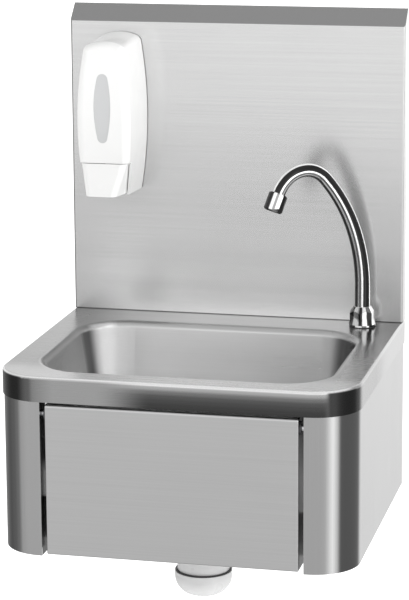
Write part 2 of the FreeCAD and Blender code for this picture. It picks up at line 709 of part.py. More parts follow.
def buffer_face_y():
    """Where the buffers' flat ends meet the pushed-in knee panel, with a small gap."""
    angle = math.radians(KNEE_TRAVEL)
    lowest = PIVOT_Z - BUFFER_Z + BUFFER_RADIUS
    reach = lowest * math.tan(angle) - (PIVOT_Y - KNEE_INNER_Y) / math.cos(angle)
    return PIVOT_Y + reach + SIDE_GAP


def stop_buffers():
    buffers = []
    length = CROSS_RAIL_Y - buffer_face_y()
    for place in buffer_places():
        block = rod(place, FRONT, BUFFER_RADIUS, length)
        stem = rod(place, BACK, BUFFER_STEM_RADIUS, RAIL_SHEET)
        keeper = rod(place + BACK * RAIL_SHEET, BACK, BUFFER_KEEPER_RADIUS, BUFFER_KEEPER_LENGTH)
        buffers.append(joined([block, stem, keeper]))
    return Part.makeCompound(buffers)


def knee_profile(shift, x):
    """The knee panel's folded section, moved inwards by shift, as a face across X."""
    front_y = CASING_FRONT + shift
    back_y = CASING_FRONT + KNEE_FLANGE + (1 if shift else 0)
    top_z = KNEE_TOP_Z - shift
    bottom_z = KNEE_BOTTOM_Z + shift
    top_r = KNEE_TOP_RADIUS - shift
    low_r = KNEE_EDGE_RADIUS - shift
    turn = 1 - math.sqrt(0.5)
    edges = [
        line(V(x, back_y, top_z), V(x, front_y + top_r, top_z)),
        arc(V(x, front_y + top_r, top_z), V(x, front_y + top_r * turn, top_z - top_r * turn),
            V(x, front_y, top_z - top_r)),
        line(V(x, front_y, top_z - top_r), V(x, front_y, bottom_z + low_r)),
        arc(V(x, front_y, bottom_z + low_r), V(x, front_y + low_r * turn, bottom_z + low_r * turn),
            V(x, front_y + low_r, bottom_z)),
        line(V(x, front_y + low_r, bottom_z), V(x, back_y, bottom_z)),
        line(V(x, back_y, bottom_z), V(x, back_y, top_z)),
    ]
    return Part.Face(Part.Wire(edges))


def knee_panel():
    outer = knee_profile(0, -KNEE_HALF).extrude(RIGHT * KNEE_WIDTH)
    back_y = CASING_FRONT + KNEE_FLANGE
    outer = fillet_where(
        outer,
        KNEE_EDGE_RADIUS,
        lambda b: near(b.XMin, b.XMax) and not near(b.YMin, back_y),
    )
    inner = knee_profile(KNEE_SHEET, KNEE_SHEET - KNEE_HALF).extrude(RIGHT * (KNEE_WIDTH - 2 * KNEE_SHEET))
    tray = outer.cut(inner)
    hole_radius = PIVOT_PIN_RADIUS + BORE_GAP + BUSH_WALL + BORE_GAP
    holes = rod(V(-KNEE_HALF - 1, PIVOT_Y, PIVOT_Z), RIGHT, hole_radius, KNEE_WIDTH + 2)
    return tray.cut(holes)


def pivot_pins():
    inside = KNEE_SIDE_GAP + KNEE_SHEET + PIVOT_PIN_INSIDE
    place = pivot_place(1)
    shank = rod(place - RIGHT * inside, RIGHT, PIVOT_PIN_RADIUS, inside + CASING_SHEET)
    head = rod(place + RIGHT * CASING_SHEET, RIGHT, PIVOT_HEAD_RADIUS, PIVOT_HEAD_THICKNESS)
    pin = joined([shank, head])
    return Part.makeCompound([mirror_x(pin), pin])


def pivot_bushes():
    bore = PIVOT_PIN_RADIUS + BORE_GAP
    face = V(KNEE_HALF, PIVOT_Y, PIVOT_Z)
    barrel = tube(face - RIGHT * BUSH_LENGTH, RIGHT, bore + BUSH_WALL, bore, BUSH_LENGTH)
    collar = tube(face, RIGHT, BUSH_COLLAR_RADIUS, bore, BUSH_COLLAR_THICKNESS)
    bush = joined([barrel, collar])
    return Part.makeCompound([mirror_x(bush), bush])


def push_pad():
    half = PUSH_PAD_SIZE / 2
    pad = box(
        VALVE_X - half, VALVE_X + half, KNEE_INNER_Y, KNEE_INNER_Y + PUSH_PAD_THICKNESS,
        VALVE_Z - half, VALVE_Z + half,
    )
    return fillet_where(pad, half / 3, lambda b: near(b.XMin, b.XMax) and near(b.ZMin, b.ZMax))


def valve_place(y):
    return V(VALVE_X, y, VALVE_Z)


def valve_body():
    body = rod(valve_place(VALVE_FRONT_Y), BACK, VALVE_BODY_RADIUS, VALVE_BODY_LENGTH)
    neck = rod(valve_place(VALVE_NECK_Y), BACK, VALVE_NECK_RADIUS, VALVE_NECK_LENGTH + RAIL_SHEET)
    inlet = rod(valve_place(VALVE_REAR_Y), BACK, PORT_RADIUS, PORT_LENGTH)
    side_start = valve_place(VALVE_OUTLET_Y)
    outlet = rod(side_start, RIGHT, PORT_RADIUS, VALVE_BODY_RADIUS + PORT_LENGTH)
    chamber_length = VALVE_BODY_LENGTH - 2 * VALVE_WALL
    chamber = rod(
        valve_place(VALVE_FRONT_Y + VALVE_WALL), BACK, VALVE_BODY_RADIUS - VALVE_WALL, chamber_length
    )
    guide = rod(
        valve_place(VALVE_NECK_Y - 1), BACK, PLUNGER_RADIUS + BORE_GAP, VALVE_NECK_LENGTH + VALVE_BODY_RADIUS
    )
    inlet_bore = rod(
        valve_place(VALVE_REAR_Y - VALVE_BODY_RADIUS), BACK, HOSE_BORE, VALVE_BODY_RADIUS + PORT_LENGTH + 1
    )
    outlet_bore = rod(side_start, RIGHT, HOSE_BORE, VALVE_BODY_RADIUS + PORT_LENGTH + 1)
    return joined([body, neck, inlet, outlet]).cut([chamber, guide, inlet_bore, outlet_bore])


def valve_locknut():
    bore = VALVE_NECK_RADIUS + BORE_GAP
    return hex_nut(valve_place(CROSS_RAIL_Y), FRONT, VALVE_NUT_FLATS, bore, VALVE_NUT_HEIGHT)


def valve_plunger():
    stem_length = VALVE_NECK_Y + PLUNGER_DEPTH - CAP_REAR_Y
    cap = rod(valve_place(CAP_FRONT_Y), BACK, PLUNGER_CAP_RADIUS, PLUNGER_CAP_THICKNESS)
    stem = rod(valve_place(CAP_REAR_Y), BACK, PLUNGER_RADIUS, stem_length)
    disc = rod(valve_place(CAP_REAR_Y + stem_length), BACK, PLUNGER_DISC_RADIUS, PLUNGER_DISC_THICKNESS)
    dome_centre = valve_place(CAP_FRONT_Y + PLUNGER_CAP_DOME)
    cap = cap.common(Part.makeSphere(PLUNGER_CAP_DOME, dome_centre))
    return joined([cap, stem, disc])


def biarc(first, first_way, last, last_way):
    """Two arcs from first to last that leave and arrive along the given unit directions."""
    span = last - first
    ways = first_way + last_way
    spread = 2 * (1 - first_way.dot(last_way))
    along = span.dot(ways)
    reach = (math.sqrt(along * along + spread * span.dot(span)) - along) / spread
    middle = (first + last + (first_way - last_way) * reach) * 0.5
    return [bulge(first, first_way, middle), bulge(last, last_way * -1, middle).reversed()]


def bulge(first, way, last):
    """The arc from first to last that leaves along way."""
    chord = last - first
    half = chord * 0.5
    side = way - chord * (way.dot(chord) / chord.dot(chord))
    sweep = way.getAngle(chord)
    side.normalize()
    return arc(first, first + half + side * (half.Length * math.tan(sweep / 2)), last)


def coil_point(start, axis, across, radius, pitch, turn):
    other = axis.cross(across)
    angle = 2 * math.pi * turn
    return start + axis * (pitch * turn) + across * (radius * math.cos(angle)) + other * (
        radius * math.sin(angle)
    )


def coil_way(axis, across, radius, pitch, turn):
    other = axis.cross(across)
    angle = 2 * math.pi * turn
    way = axis * (pitch / (2 * math.pi * radius)) - across * math.sin(angle) + other * math.cos(angle)
    way.normalize()
    return way


def coil_spring(name, start, axis, across, radius, wire, turns, length):
    """A compression spring between two seats, its wire clear of both by the side gap."""
    free = length - wire - 2 * SIDE_GAP
    pitch = free / turns
    begin = start + axis * (wire / 2 + SIDE_GAP)
    edges = []
    for step in range(4 * turns):
        here, there = step / 4, (step + 1) / 4
        edges += biarc(
            coil_point(begin, axis, across, radius, pitch, here),
            coil_way(axis, across, radius, pitch, here),
            coil_point(begin, axis, across, radius, pitch, there),
            coil_way(axis, across, radius, pitch, there),
        )
    print_least_gap(name, begin, axis, across, radius, pitch, wire, turns)
    first_way = coil_way(axis, across, radius, pitch, 0)
    circle = Part.Circle(coil_point(begin, axis, across, radius, pitch, 0), first_way, wire / 2)
    return pipe(Part.Wire(edges), [Part.Wire(circle.toShape())])


def print_least_gap(name, begin, axis, across, radius, pitch, wire, turns):
    per_turn = 24
    points = []
    for step in range(per_turn * turns + 1):
        points.append(coil_point(begin, axis, across, radius, pitch, step / per_turn))
    least = min(
        (points[i] - points[j]).Length
        for i in range(len(points))
        for j in range(i + per_turn // 2, len(points))
    )
    print(name, "least gap between turns", round(least - wire, 2), "mm")


def pipe(path, profiles):
    shell = Part.BRepOffsetAPI.MakePipeShell(path)
    for profile in profiles:
        shell.add(profile)
    shell.build()
    shell.makeSolid()
    return shell.shape()


def valve_return_spring():
    start = valve_place(CAP_REAR_Y)
    length = VALVE_NECK_Y - CAP_REAR_Y
    return coil_spring(
        "valve_return_spring", start, BACK, RIGHT, RETURN_COIL_RADIUS, RETURN_WIRE, RETURN_TURNS, length
    )


def bracket_rail_levels():
    return [RAIL_BOTTOM_Z + BRACKET_OVERLAP / 4, RAIL_BOTTOM_Z + BRACKET_OVERLAP * 3 / 4]


def mixer_screw_places():
    half = BRACKET_SCREW_SPACING / 2
    return [V(MIXER_X, MIXER_MIDDLE_Y + side * half, MIXER_TOP_Z) for side in (-1, 1)]


def inlet_places():
    half = INLET_SPACING / 2
    return [V(MIXER_X + side * half, -MIXER_BACK, VALVE_Z) for side in (-1, 1)]


def mixer_body():
    half = MIXER_WIDTH / 2
    block = box(MIXER_X - half, MIXER_X + half, MIXER_FRONT_Y, -MIXER_BACK, MIXER_BOTTOM_Z, MIXER_TOP_Z)
    block = fillet_where(block, MIXER_EDGE_RADIUS, lambda b: b.ZMax - b.ZMin > MIXER_HEIGHT / 2)
    port = rod(V(MIXER_X, MIXER_FRONT_Y, VALVE_Z), FRONT, PORT_RADIUS, PORT_LENGTH)
    outlet_length = PORT_LENGTH + MIXER_LENGTH / 2
    cuts = [rod(V(MIXER_X, MIXER_FRONT_Y - PORT_LENGTH - 1, VALVE_Z), BACK, HOSE_BORE, outlet_length)]
    for place in inlet_places():
        cuts.append(rod(place + BACK, FRONT, INLET_BORE, MIXER_LENGTH / 3))
    for place in mixer_screw_places():
        cuts.append(
            rod(place + UP, DOWN, BRACKET_SCREW_RADIUS + BORE_GAP, BRACKET_SCREW_DEPTH + 1 + SIDE_GAP)
        )
    stem_depth = KNOB_STEM_LENGTH + 1 + SIDE_GAP
    cuts.append(
        rod(V(MIXER_X, MIXER_MIDDLE_Y, MIXER_BOTTOM_Z - 1), UP, KNOB_STEM_RADIUS + BORE_GAP, stem_depth)
    )
    return joined([block, port]).cut(cuts)


def inlet_nipples():
    nipples = []
    for place in inlet_places():
        nipple = tube(place, BACK, INLET_RADIUS, INLET_BORE, INLET_LENGTH)
        nipples.append(nipple)
    return Part.makeCompound(nipples)


def mixer_knob():
    top = V(MIXER_X, MIXER_MIDDLE_Y, MIXER_BOTTOM_Z - SIDE_GAP)
    grip = rod(top, DOWN, KNOB_RADIUS, KNOB_HEIGHT)
    grip = fillet_where(grip, KNOB_HEIGHT / 8, lambda b: near(b.ZMax, top.z - KNOB_HEIGHT))
    flutes = []
    for step in range(KNOB_FLUTES):
        angle = 2 * math.pi * step / KNOB_FLUTES
        place = top + V(math.cos(angle), math.sin(angle), 0) * (KNOB_RADIUS + KNOB_FLUTE_RADIUS / 2)
        flutes.append(rod(place + DOWN * (KNOB_HEIGHT + 1), UP, KNOB_FLUTE_RADIUS, KNOB_HEIGHT + 2))
    stem = rod(top, UP, KNOB_STEM_RADIUS, KNOB_STEM_LENGTH)
    return joined([grip.cut(flutes), stem])


def mixer_bracket():
    half = BRACKET_WIDTH / 2
    front_y = -RAIL_SHEET - BRACKET_SHEET
    strip = box(
        MIXER_X - half, MIXER_X + half, front_y, -RAIL_SHEET, MIXER_TOP_Z, RAIL_BOTTOM_Z + BRACKET_OVERLAP
    )
    flange = box(
        MIXER_X - half, MIXER_X + half, MIXER_FRONT_Y, -RAIL_SHEET, MIXER_TOP_Z, MIXER_TOP_Z + BRACKET_SHEET
    )
    holes = []
    for place in mixer_screw_places():
        holes.append(rod(place - UP, UP, BRACKET_SCREW_RADIUS + HOLE_GAP, BRACKET_SHEET + 2))
    for level in bracket_rail_levels():
        holes.append(
            rod(V(MIXER_X, front_y - 1, level), BACK, BRACKET_SCREW_RADIUS + HOLE_GAP, BRACKET_SHEET + 2)
        )
    return joined([strip, flange]).cut(holes)


def bracket_screw(seat, inward, length):
    head = rod(seat, inward * -1, BRACKET_SCREW_HEAD, BRACKET_SCREW_HEAD_HEIGHT)
    return joined([head, rod(seat, inward, BRACKET_SCREW_RADIUS, length)])


def bracket_screws():
    screws = []
    for place in mixer_screw_places():
        screws.append(bracket_screw(place + UP * BRACKET_SHEET, DOWN, BRACKET_SHEET + BRACKET_SCREW_DEPTH))
    for level in bracket_rail_levels():
        seat = V(MIXER_X, -RAIL_SHEET - BRACKET_SHEET, level)
        screws.append(bracket_screw(seat, BACK, BRACKET_SHEET + RAIL_SHEET - SIDE_GAP))
    return Part.makeCompound(screws)


def mixer_hose():
    end = V(MIXER_X, MIXER_PORT_Y, VALVE_Z)
    start = valve_place(VALVE_PORT_Y)
    way = end - start
    length = way.Length
    way.normalize()
    return tube(start, way, HOSE_RADIUS, HOSE_BORE, length)


def spout_hose_path():
    start = V(VALVE_PORT_X, VALVE_OUTLET_Y, VALVE_Z)
    corner = V(SPOUT_X, VALVE_OUTLET_Y, VALVE_Z)
    turn = V(SPOUT_X, SPOUT_Y, VALVE_Z)
    end = V(SPOUT_X, SPOUT_Y, SHANK_END_Z)
    cut_in = HOSE_BEND * (1 - math.sqrt(0.5))
    edges = [
        line(start, corner - RIGHT * HOSE_BEND),
        arc(corner - RIGHT * HOSE_BEND, corner + V(-cut_in, cut_in, 0), corner + BACK * HOSE_BEND),
        line(corner + BACK * HOSE_BEND, turn - BACK * HOSE_BEND),
        arc(turn - BACK * HOSE_BEND, turn + V(0, -cut_in, cut_in), turn + UP * HOSE_BEND),
        line(turn + UP * HOSE_BEND, end),
    ]
    return Part.Wire(edges)


def spout_hose():
    path = spout_hose_path()
    start = V(VALVE_PORT_X, VALVE_OUTLET_Y, VALVE_Z)
    skins = []
    for radius in (HOSE_RADIUS, HOSE_BORE):
        skins.append(pipe(path, [Part.Wire(Part.Circle(start, RIGHT, radius).toShape())]))
    hose = skins[0].cut(skins[1])
    expected = math.pi * (HOSE_RADIUS**2 - HOSE_BORE**2) * path.Length
    print("spout_hose volume", round(hose.Volume), "of", round(expected), "bend radius", HOSE_BEND)
    return hose


def hose_nut(face, outward):
    """A union nut over a port's end at face, half on the port and half on the hose."""
    half = HOSE_NUT_LENGTH / 2
    blank = hex_nut(face - outward * half, outward, HOSE_NUT_FLATS, HOSE_RADIUS + BORE_GAP, HOSE_NUT_LENGTH)
    return blank.cut(rod(face - outward * (half + 1), outward, PORT_RADIUS + BORE_GAP, half + 1))


def hose_nuts():
    return Part.makeCompound([
        hose_nut(V(MIXER_X, MIXER_PORT_Y, VALVE_Z), FRONT),
        hose_nut(valve_place(VALVE_PORT_Y), BACK),
        hose_nut(V(VALVE_PORT_X, VALVE_OUTLET_Y, VALVE_Z), RIGHT),
        hose_nut(V(SPOUT_X, SPOUT_Y, SHANK_END_Z), DOWN),
    ])


def spout_axis(z):
    return V(SPOUT_X, SPOUT_Y, z)


def spout_base():
    collar = rod(spout_axis(COLLAR_Z), UP, SPOUT_COLLAR_RADIUS, SPOUT_COLLAR_HEIGHT)
    socket = tube(spout_axis(COLLAR_TOP_Z), UP, SOCKET_OUTER, SOCKET_RADIUS, SPOUT_FOOT_DEPTH)
    thread_length = COLLAR_Z - SHANK_END_Z - PORT_LENGTH
    thread = rod(spout_axis(SHANK_END_Z + PORT_LENGTH), UP, SHANK_RADIUS, thread_length)
    port = rod(spout_axis(SHANK_END_Z), UP, PORT_RADIUS, PORT_LENGTH)
    bore = rod(spout_axis(SHANK_END_Z - 1), UP, HOSE_BORE, COLLAR_TOP_Z - SHANK_END_Z + 2)
    return joined([collar, socket, thread, port]).cut(bore)


def base_gasket():
    return tube(
        spout_axis(DECK_Z), UP, SPOUT_COLLAR_RADIUS - 1, SHANK_RADIUS + HOLE_GAP, BASE_GASKET_THICKNESS
    )


def shank_washer():
    start = spout_axis(DECK_UNDER)
    return tube(start, DOWN, SHANK_WASHER_RADIUS, SHANK_RADIUS + HOLE_GAP, SHANK_WASHER_THICKNESS)


def shank_backnut():
    start = spout_axis(DECK_UNDER - SHANK_WASHER_THICKNESS)
    return hex_nut(start, DOWN, SHANK_NUT_FLATS, SHANK_RADIUS + BORE_GAP, SHANK_NUT_HEIGHT)


def spout_nut():
    start = spout_axis(COLLAR_TOP_Z)
    bore = SPOUT_FOOT_RADIUS + SIDE_GAP
    corner = SPOUT_NUT_FLATS / math.sqrt(3)
    straight = SPOUT_NUT_HEIGHT - SPOUT_NUT_TAPER
    blank = hex_prism(start, UP, SPOUT_NUT_FLATS, SPOUT_NUT_HEIGHT, SPOUT_NUT_TURN)
    taper = cone(start + UP * straight, UP, corner, bore + SPOUT_NUT_LIP, SPOUT_NUT_TAPER)
    limit = joined([rod(start, UP, corner, straight), taper])
    flare = cone(start, UP, corner, SPOUT_NUT_FLATS / 2, SPOUT_NUT_FLARE)
    socket = rod(start - UP, UP, SOCKET_OUTER + BORE_GAP, SPOUT_FOOT_DEPTH + 1 + SIDE_GAP)
    return joined([blank.common(limit), flare]).cut([rod(start, UP, bore, SPOUT_NUT_HEIGHT + 1), socket])


def spout_point(reach, height):
    return V(SPOUT_X, SPOUT_Y, DECK_Z + height) + SPOUT_WAY * reach


def sweep_place(angle):
    turn = math.radians(angle)
    reach = SPOUT_SWEEP_RADIUS * (1 - math.cos(turn))
    return reach, SPOUT_RISER + SPOUT_SWEEP_RADIUS * math.sin(turn)


def arch_place(angle):
    first = math.radians(SPOUT_SWEEP)
    turn = math.radians(angle)
    reach, height = sweep_place(SPOUT_SWEEP)
    reach += SPOUT_ARCH_RADIUS * (math.cos(first) - math.cos(turn))
    return reach, height + SPOUT_ARCH_RADIUS * (math.sin(turn) - math.sin(first))


def spout_path():
    foot = spout_point(0, SOCKET_TOP_Z - DECK_Z)
    riser_top = spout_point(*sweep_place(0))
    sweep_end = spout_point(*sweep_place(SPOUT_SWEEP))
    middle_angle = (SPOUT_SWEEP + SPOUT_TURN) / 2
    edges = [
        line(foot, riser_top),
        arc(riser_top, spout_point(*sweep_place(SPOUT_SWEEP / 2)), sweep_end),
        arc(sweep_end, spout_point(*arch_place(middle_angle)), arch_end()),
        line(arch_end(), mouth_point()),
    ]
    return Part.Wire(edges)


def mouth_way():
    turn = math.radians(SPOUT_TURN)
    return SPOUT_WAY * math.sin(turn) + UP * math.cos(turn)


def arch_end():
    return spout_point(*arch_place(SPOUT_TURN))


def mouth_point():
    return arch_end() + mouth_way() * SPOUT_TAIL


def spout_tube():
    path = spout_path()
    skins = []
    for wall in (0, SPOUT_WALL):
        foot_ring = Part.Circle(spout_axis(SOCKET_TOP_Z), UP, SPOUT_FOOT_RADIUS - wall)
        mouth_ring = Part.Circle(mouth_point(), mouth_way(), SPOUT_MOUTH_RADIUS - wall)
        skins.append(pipe(path, [Part.Wire(foot_ring.toShape()), Part.Wire(mouth_ring.toShape())]))
    neck = skins[0].cut(skins[1])
    foot_length = SOCKET_TOP_Z - FOOT_Z
    foot = tube(spout_axis(FOOT_Z), UP, SPOUT_FOOT_RADIUS, SHANK_BORE, foot_length)
    grooves = [o_ring_groove(height) for height in o_ring_heights()]
    return joined([neck, foot]).cut(grooves)


def o_ring_heights():
    return [FOOT_Z + SPOUT_FOOT_DEPTH / 4, FOOT_Z + SPOUT_FOOT_DEPTH * 5 / 8]


def o_ring_groove(height):
    width = O_RING_WIRE + 2 * BORE_GAP
    start = spout_axis(height - width / 2)
    return tube(start, UP, SPOUT_FOOT_RADIUS + 1, SPOUT_FOOT_RADIUS - width, width)


def spout_o_rings():
    major = SPOUT_FOOT_RADIUS - O_RING_WIRE / 2
    return Part.makeCompound([
        Part.makeTorus(major, O_RING_WIRE / 2, spout_axis(height), UP) for height in o_ring_heights()
    ])


def aerator_housing():
    way = mouth_way()
    start = mouth_point() - way * AERATOR_OVERLAP
    housing = rod(start, way, AERATOR_RADIUS, AERATOR_LENGTH)
    housing = housing.makeChamfer(AERATOR_WALL, housing.Edges)
    sleeve = rod(start - way, way, AERATOR_BACK, AERATOR_LENGTH)
    chamber_length = AERATOR_LENGTH - AERATOR_OVERLAP
    chamber = rod(mouth_point(), way, AERATOR_RADIUS - AERATOR_WALL, chamber_length + 1)
    return housing.cut([sleeve, chamber])


def aerator_insert():
    way = mouth_way()
    radius = AERATOR_RADIUS - AERATOR_WALL - BORE_GAP
    end = mouth_point() + way * (AERATOR_LENGTH - AERATOR_OVERLAP - AERATOR_WALL)
    start = end - way * AERATOR_INSERT_LENGTH
    across = UP.cross(way)
    across.normalize()
    other = way.cross(across)
    holes = [rod(start - way, way, AERATOR_HOLE_RADIUS, AERATOR_INSERT_LENGTH + 2)]
    for ring in (1, 2):
        for step in range(6 * ring):
            angle = 2 * math.pi * step / (6 * ring)
            spread = ring * AERATOR_HOLE_RADIUS * 3.5
            place = start - way + across * (spread * math.cos(angle)) + other * (spread * math.sin(angle))
            holes.append(rod(place, way, AERATOR_HOLE_RADIUS, AERATOR_INSERT_LENGTH + 2))
    return rod(start, way, radius, AERATOR_INSERT_LENGTH).cut(holes)


def waste_axis(z):
    return V(0, BOWL_Y, z)


def waste_gasket():
    return tube(
        waste_axis(BOWL_FLOOR_Z), UP, WASTE_FLANGE_RADIUS - 2, WASTE_HOLE_RADIUS, WASTE_GASKET_THICKNESS
    )


def waste_strainer():
    flange = rod(waste_axis(STRAINER_Z), UP, WASTE_FLANGE_RADIUS, WASTE_FLANGE_THICKNESS)
    flange = fillet_where(
        flange, WASTE_FLANGE_THICKNESS / 2, lambda b: near(b.ZMin, STRAINER_Z + WASTE_FLANGE_THICKNESS)
    )
    spigot_length = STRAINER_Z - WASTE_BODY_Z
    spigot = rod(waste_axis(STRAINER_Z), DOWN, WASTE_HOLE_RADIUS - HOLE_GAP, spigot_length)
    dish = cone(
        waste_axis(STRAINER_Z), UP, WASTE_SLOT_RING + 2 * WASTE_SLOT_RADIUS,
        WASTE_HOLE_RADIUS + WASTE_FLANGE_THICKNESS, WASTE_FLANGE_THICKNESS + 0.5,
    )
    under = rod(
        waste_axis(STRAINER_Z - WASTE_FLANGE_THICKNESS), DOWN,
        WASTE_HOLE_RADIUS - HOLE_GAP - WASTE_FLANGE_THICKNESS / 2, spigot_length,
    )
    screw_hole = rod(waste_axis(WASTE_BODY_Z - 1), UP, WASTE_SCREW_RADIUS + HOLE_GAP, spigot_length + 2)
    cuts = [dish, under, screw_hole]
    for step in range(WASTE_SLOT_COUNT):
        angle = 2 * math.pi * step / WASTE_SLOT_COUNT
        place = waste_axis(WASTE_BODY_Z - 1) + V(math.cos(angle), math.sin(angle), 0) * WASTE_SLOT_RING
        cuts.append(rod(place, UP, WASTE_SLOT_RADIUS, spigot_length + 2))
    return joined([flange, spigot]).cut(cuts)


def waste_screw():
    seat = waste_axis(STRAINER_Z)
    head = cone(seat, UP, WASTE_SCREW_HEAD, WASTE_SCREW_HEAD * 0.8, WASTE_SCREW_RADIUS)
    shank = rod(seat, DOWN, WASTE_SCREW_RADIUS, STRAINER_Z - BRIDGE_Z)
    slot_half = WASTE_SCREW_RADIUS / 4
    slot = box(
        -WASTE_SCREW_HEAD, WASTE_SCREW_HEAD, BOWL_Y - slot_half, BOWL_Y + slot_half,
        STRAINER_Z + WASTE_SCREW_RADIUS / 2, STRAINER_Z + WASTE_SCREW_RADIUS + 1,
    )
    return joined([head.cut(slot), shank])


def waste_lower_gasket():
    bore = WASTE_HOLE_RADIUS + HOLE_GAP
    return tube(waste_axis(BOWL_UNDER_Z), DOWN, WASTE_FLANGE_RADIUS - 1, bore, WASTE_LOWER_GASKET)


def waste_body():
    tail_outer = WASTE_TAIL_RADIUS
    flange = WASTE_FLANGE_RADIUS
    wall = WASTE_TAIL_RADIUS - WASTE_TAIL_BORE
    depth = WASTE_BODY_Z - WASTE_CUP_Z
    tail = WASTE_BODY_Z - WASTE_END_Z
    shell = turned(waste_axis(WASTE_BODY_Z), [
        (WASTE_HOLE_RADIUS, 0),
        (flange, 0),
        (flange, -wall),
        (tail_outer, -depth),
        (tail_outer, -tail),
        (WASTE_TAIL_BORE, -tail),
        (WASTE_TAIL_BORE, -depth),
        (WASTE_HOLE_RADIUS, -wall),
    ])
    half = WASTE_BRIDGE / 2
    bridge = box(
        -WASTE_TAIL_BORE - 1, WASTE_TAIL_BORE + 1, BOWL_Y - half, BOWL_Y + half, BRIDGE_Z, WASTE_CUP_Z
    )
    boss = rod(waste_axis(BRIDGE_Z), UP, WASTE_BRIDGE, WASTE_BRIDGE)
    hole = rod(waste_axis(BRIDGE_Z - 1), UP, WASTE_SCREW_RADIUS + BORE_GAP, WASTE_BRIDGE + 2)
    return joined([shell, bridge, boss]).cut(hole)


def trap_inlet_nut():
    nut = tube(
        waste_axis(TRAP_TOP_Z + SIDE_GAP), UP, TRAP_NUT_RADIUS, WASTE_TAIL_RADIUS + BORE_GAP, TRAP_NUT_HEIGHT
    )
    grooves = [rod(waste_axis(TRAP_TOP_Z), UP, TRAP_NECK_RADIUS + BORE_GAP, TRAP_NECK_HEIGHT + DIP_COLLAR)]
    for step in range(TRAP_NUT_RIBS):
        angle = 2 * math.pi * step / TRAP_NUT_RIBS
        place = waste_axis(TRAP_TOP_Z) + V(math.cos(angle), math.sin(angle), 0) * (TRAP_NUT_RADIUS + 1)
        grooves.append(rod(place, UP, TRAP_WALL, TRAP_NUT_HEIGHT + 1))
    return nut.cut(grooves)


def trap_dip_tube():
    tail = tube(
        waste_axis(WASTE_END_Z), DOWN, TRAP_DIP_RADIUS, TRAP_DIP_RADIUS - WASTE_PIPE_WALL, TRAP_DIP_LENGTH
    )
    collar = tube(
        waste_axis(WASTE_END_Z), DOWN, WASTE_TAIL_RADIUS, TRAP_DIP_RADIUS - WASTE_PIPE_WALL, DIP_COLLAR
    )
    return joined([tail, collar])


def trap_body():
    inner = TRAP_BODY_RADIUS - TRAP_WALL
    bore = TRAP_DIP_RADIUS + BORE_GAP
    shell = turned(waste_axis(TRAP_TOP_Z), [
        (bore, TRAP_NECK_HEIGHT),
        (TRAP_NECK_RADIUS, TRAP_NECK_HEIGHT),
        (TRAP_NECK_RADIUS, 0),
        (TRAP_BODY_RADIUS, 0),
        (TRAP_BODY_RADIUS, -TRAP_BODY_HEIGHT),
        (inner, -TRAP_BODY_HEIGHT),
        (inner, -TRAP_WALL),
        (bore, -TRAP_WALL),
    ])
    middle = waste_axis(OUTLET_Z)
    outlet = rod(middle, BACK, TRAP_OUTLET_RADIUS, TRAP_BODY_RADIUS + TRAP_OUTLET_LENGTH)
    outlet = outlet.cut(rod(middle + DOWN * TRAP_BODY_HEIGHT, UP, inner, 2 * TRAP_BODY_HEIGHT))
    pipe_hole = rod(middle + BACK * (inner / 2), BACK, WASTE_PIPE_RADIUS + BORE_GAP, 2 * TRAP_BODY_RADIUS)
    return joined([shell, outlet]).cut(pipe_hole)


def trap_cup_seal():
    return tube(
        waste_axis(TRAP_END_Z), DOWN, TRAP_CUP_RADIUS - 1, TRAP_BODY_RADIUS - TRAP_WALL, TRAP_SEAL_HEIGHT
    )


def cup_form(wall):
    height = TRAP_CUP_HEIGHT - wall
    form = rod(waste_axis(CUP_TOP_Z), DOWN, TRAP_CUP_RADIUS - wall, height)
    foot = CUP_TOP_Z - height
    return fillet_where(form, TRAP_CUP_EDGE - wall, lambda b: near(b.ZMin, foot) and near(b.ZMax, foot))


def trap_cup():
    spigot_radius = TRAP_BODY_RADIUS - TRAP_WALL - BORE_GAP
    spigot_top = waste_axis(CUP_TOP_Z + TRAP_SEAL_HEIGHT + TRAP_CUP_SPIGOT)
    spigot_length = TRAP_SEAL_HEIGHT + TRAP_CUP_SPIGOT + TRAP_WALL
    cup = cup_form(0).cut(cup_form(TRAP_CUP_RADIUS - spigot_radius + TRAP_WALL))
    return joined([cup, tube(spigot_top, DOWN, spigot_radius, spigot_radius - TRAP_WALL, spigot_length)])


def trap_outlet_nut():
    face_y = BOWL_Y + TRAP_BODY_RADIUS + TRAP_OUTLET_LENGTH
    overlap = TRAP_OUTLET_LENGTH / 2
    start = V(0, face_y - overlap, OUTLET_Z)
    nut = tube(start, BACK, TRAP_OUTLET_NUT_RADIUS, WASTE_PIPE_RADIUS + BORE_GAP, TRAP_OUTLET_NUT_LENGTH)
    cuts = [rod(start - BACK, BACK, TRAP_OUTLET_RADIUS + BORE_GAP, overlap + 1 + SIDE_GAP)]
    for step in range(TRAP_NUT_RIBS):
        angle = 2 * math.pi * step / TRAP_NUT_RIBS
        place = start - BACK + V(math.cos(angle), 0, math.sin(angle)) * (TRAP_OUTLET_NUT_RADIUS + 1)
        cuts.append(rod(place, BACK, TRAP_WALL, TRAP_OUTLET_NUT_LENGTH + 2))
    return nut.cut(cuts)


def waste_pipe():
    start_y = BOWL_Y + TRAP_BODY_RADIUS
    free_y = start_y + TRAP_OUTLET_LENGTH / 2 + TRAP_OUTLET_NUT_LENGTH
    bore = WASTE_PIPE_RADIUS - WASTE_PIPE_WALL
    spigot_radius = WASTE_PIPE_RADIUS - WASTE_SPIGOT_STEP
    spigot = tube(V(0, start_y, OUTLET_Z), BACK, spigot_radius, bore, free_y - start_y)
    free = tube(V(0, free_y, OUTLET_Z), BACK, WASTE_PIPE_RADIUS, bore, -WASTE_PIPE_WALL_GAP - free_y)
    return joined([spigot, free])


def soap_point(x, y, rise):
    return V(SOAP_X + x, y, SOAP_Z + rise)


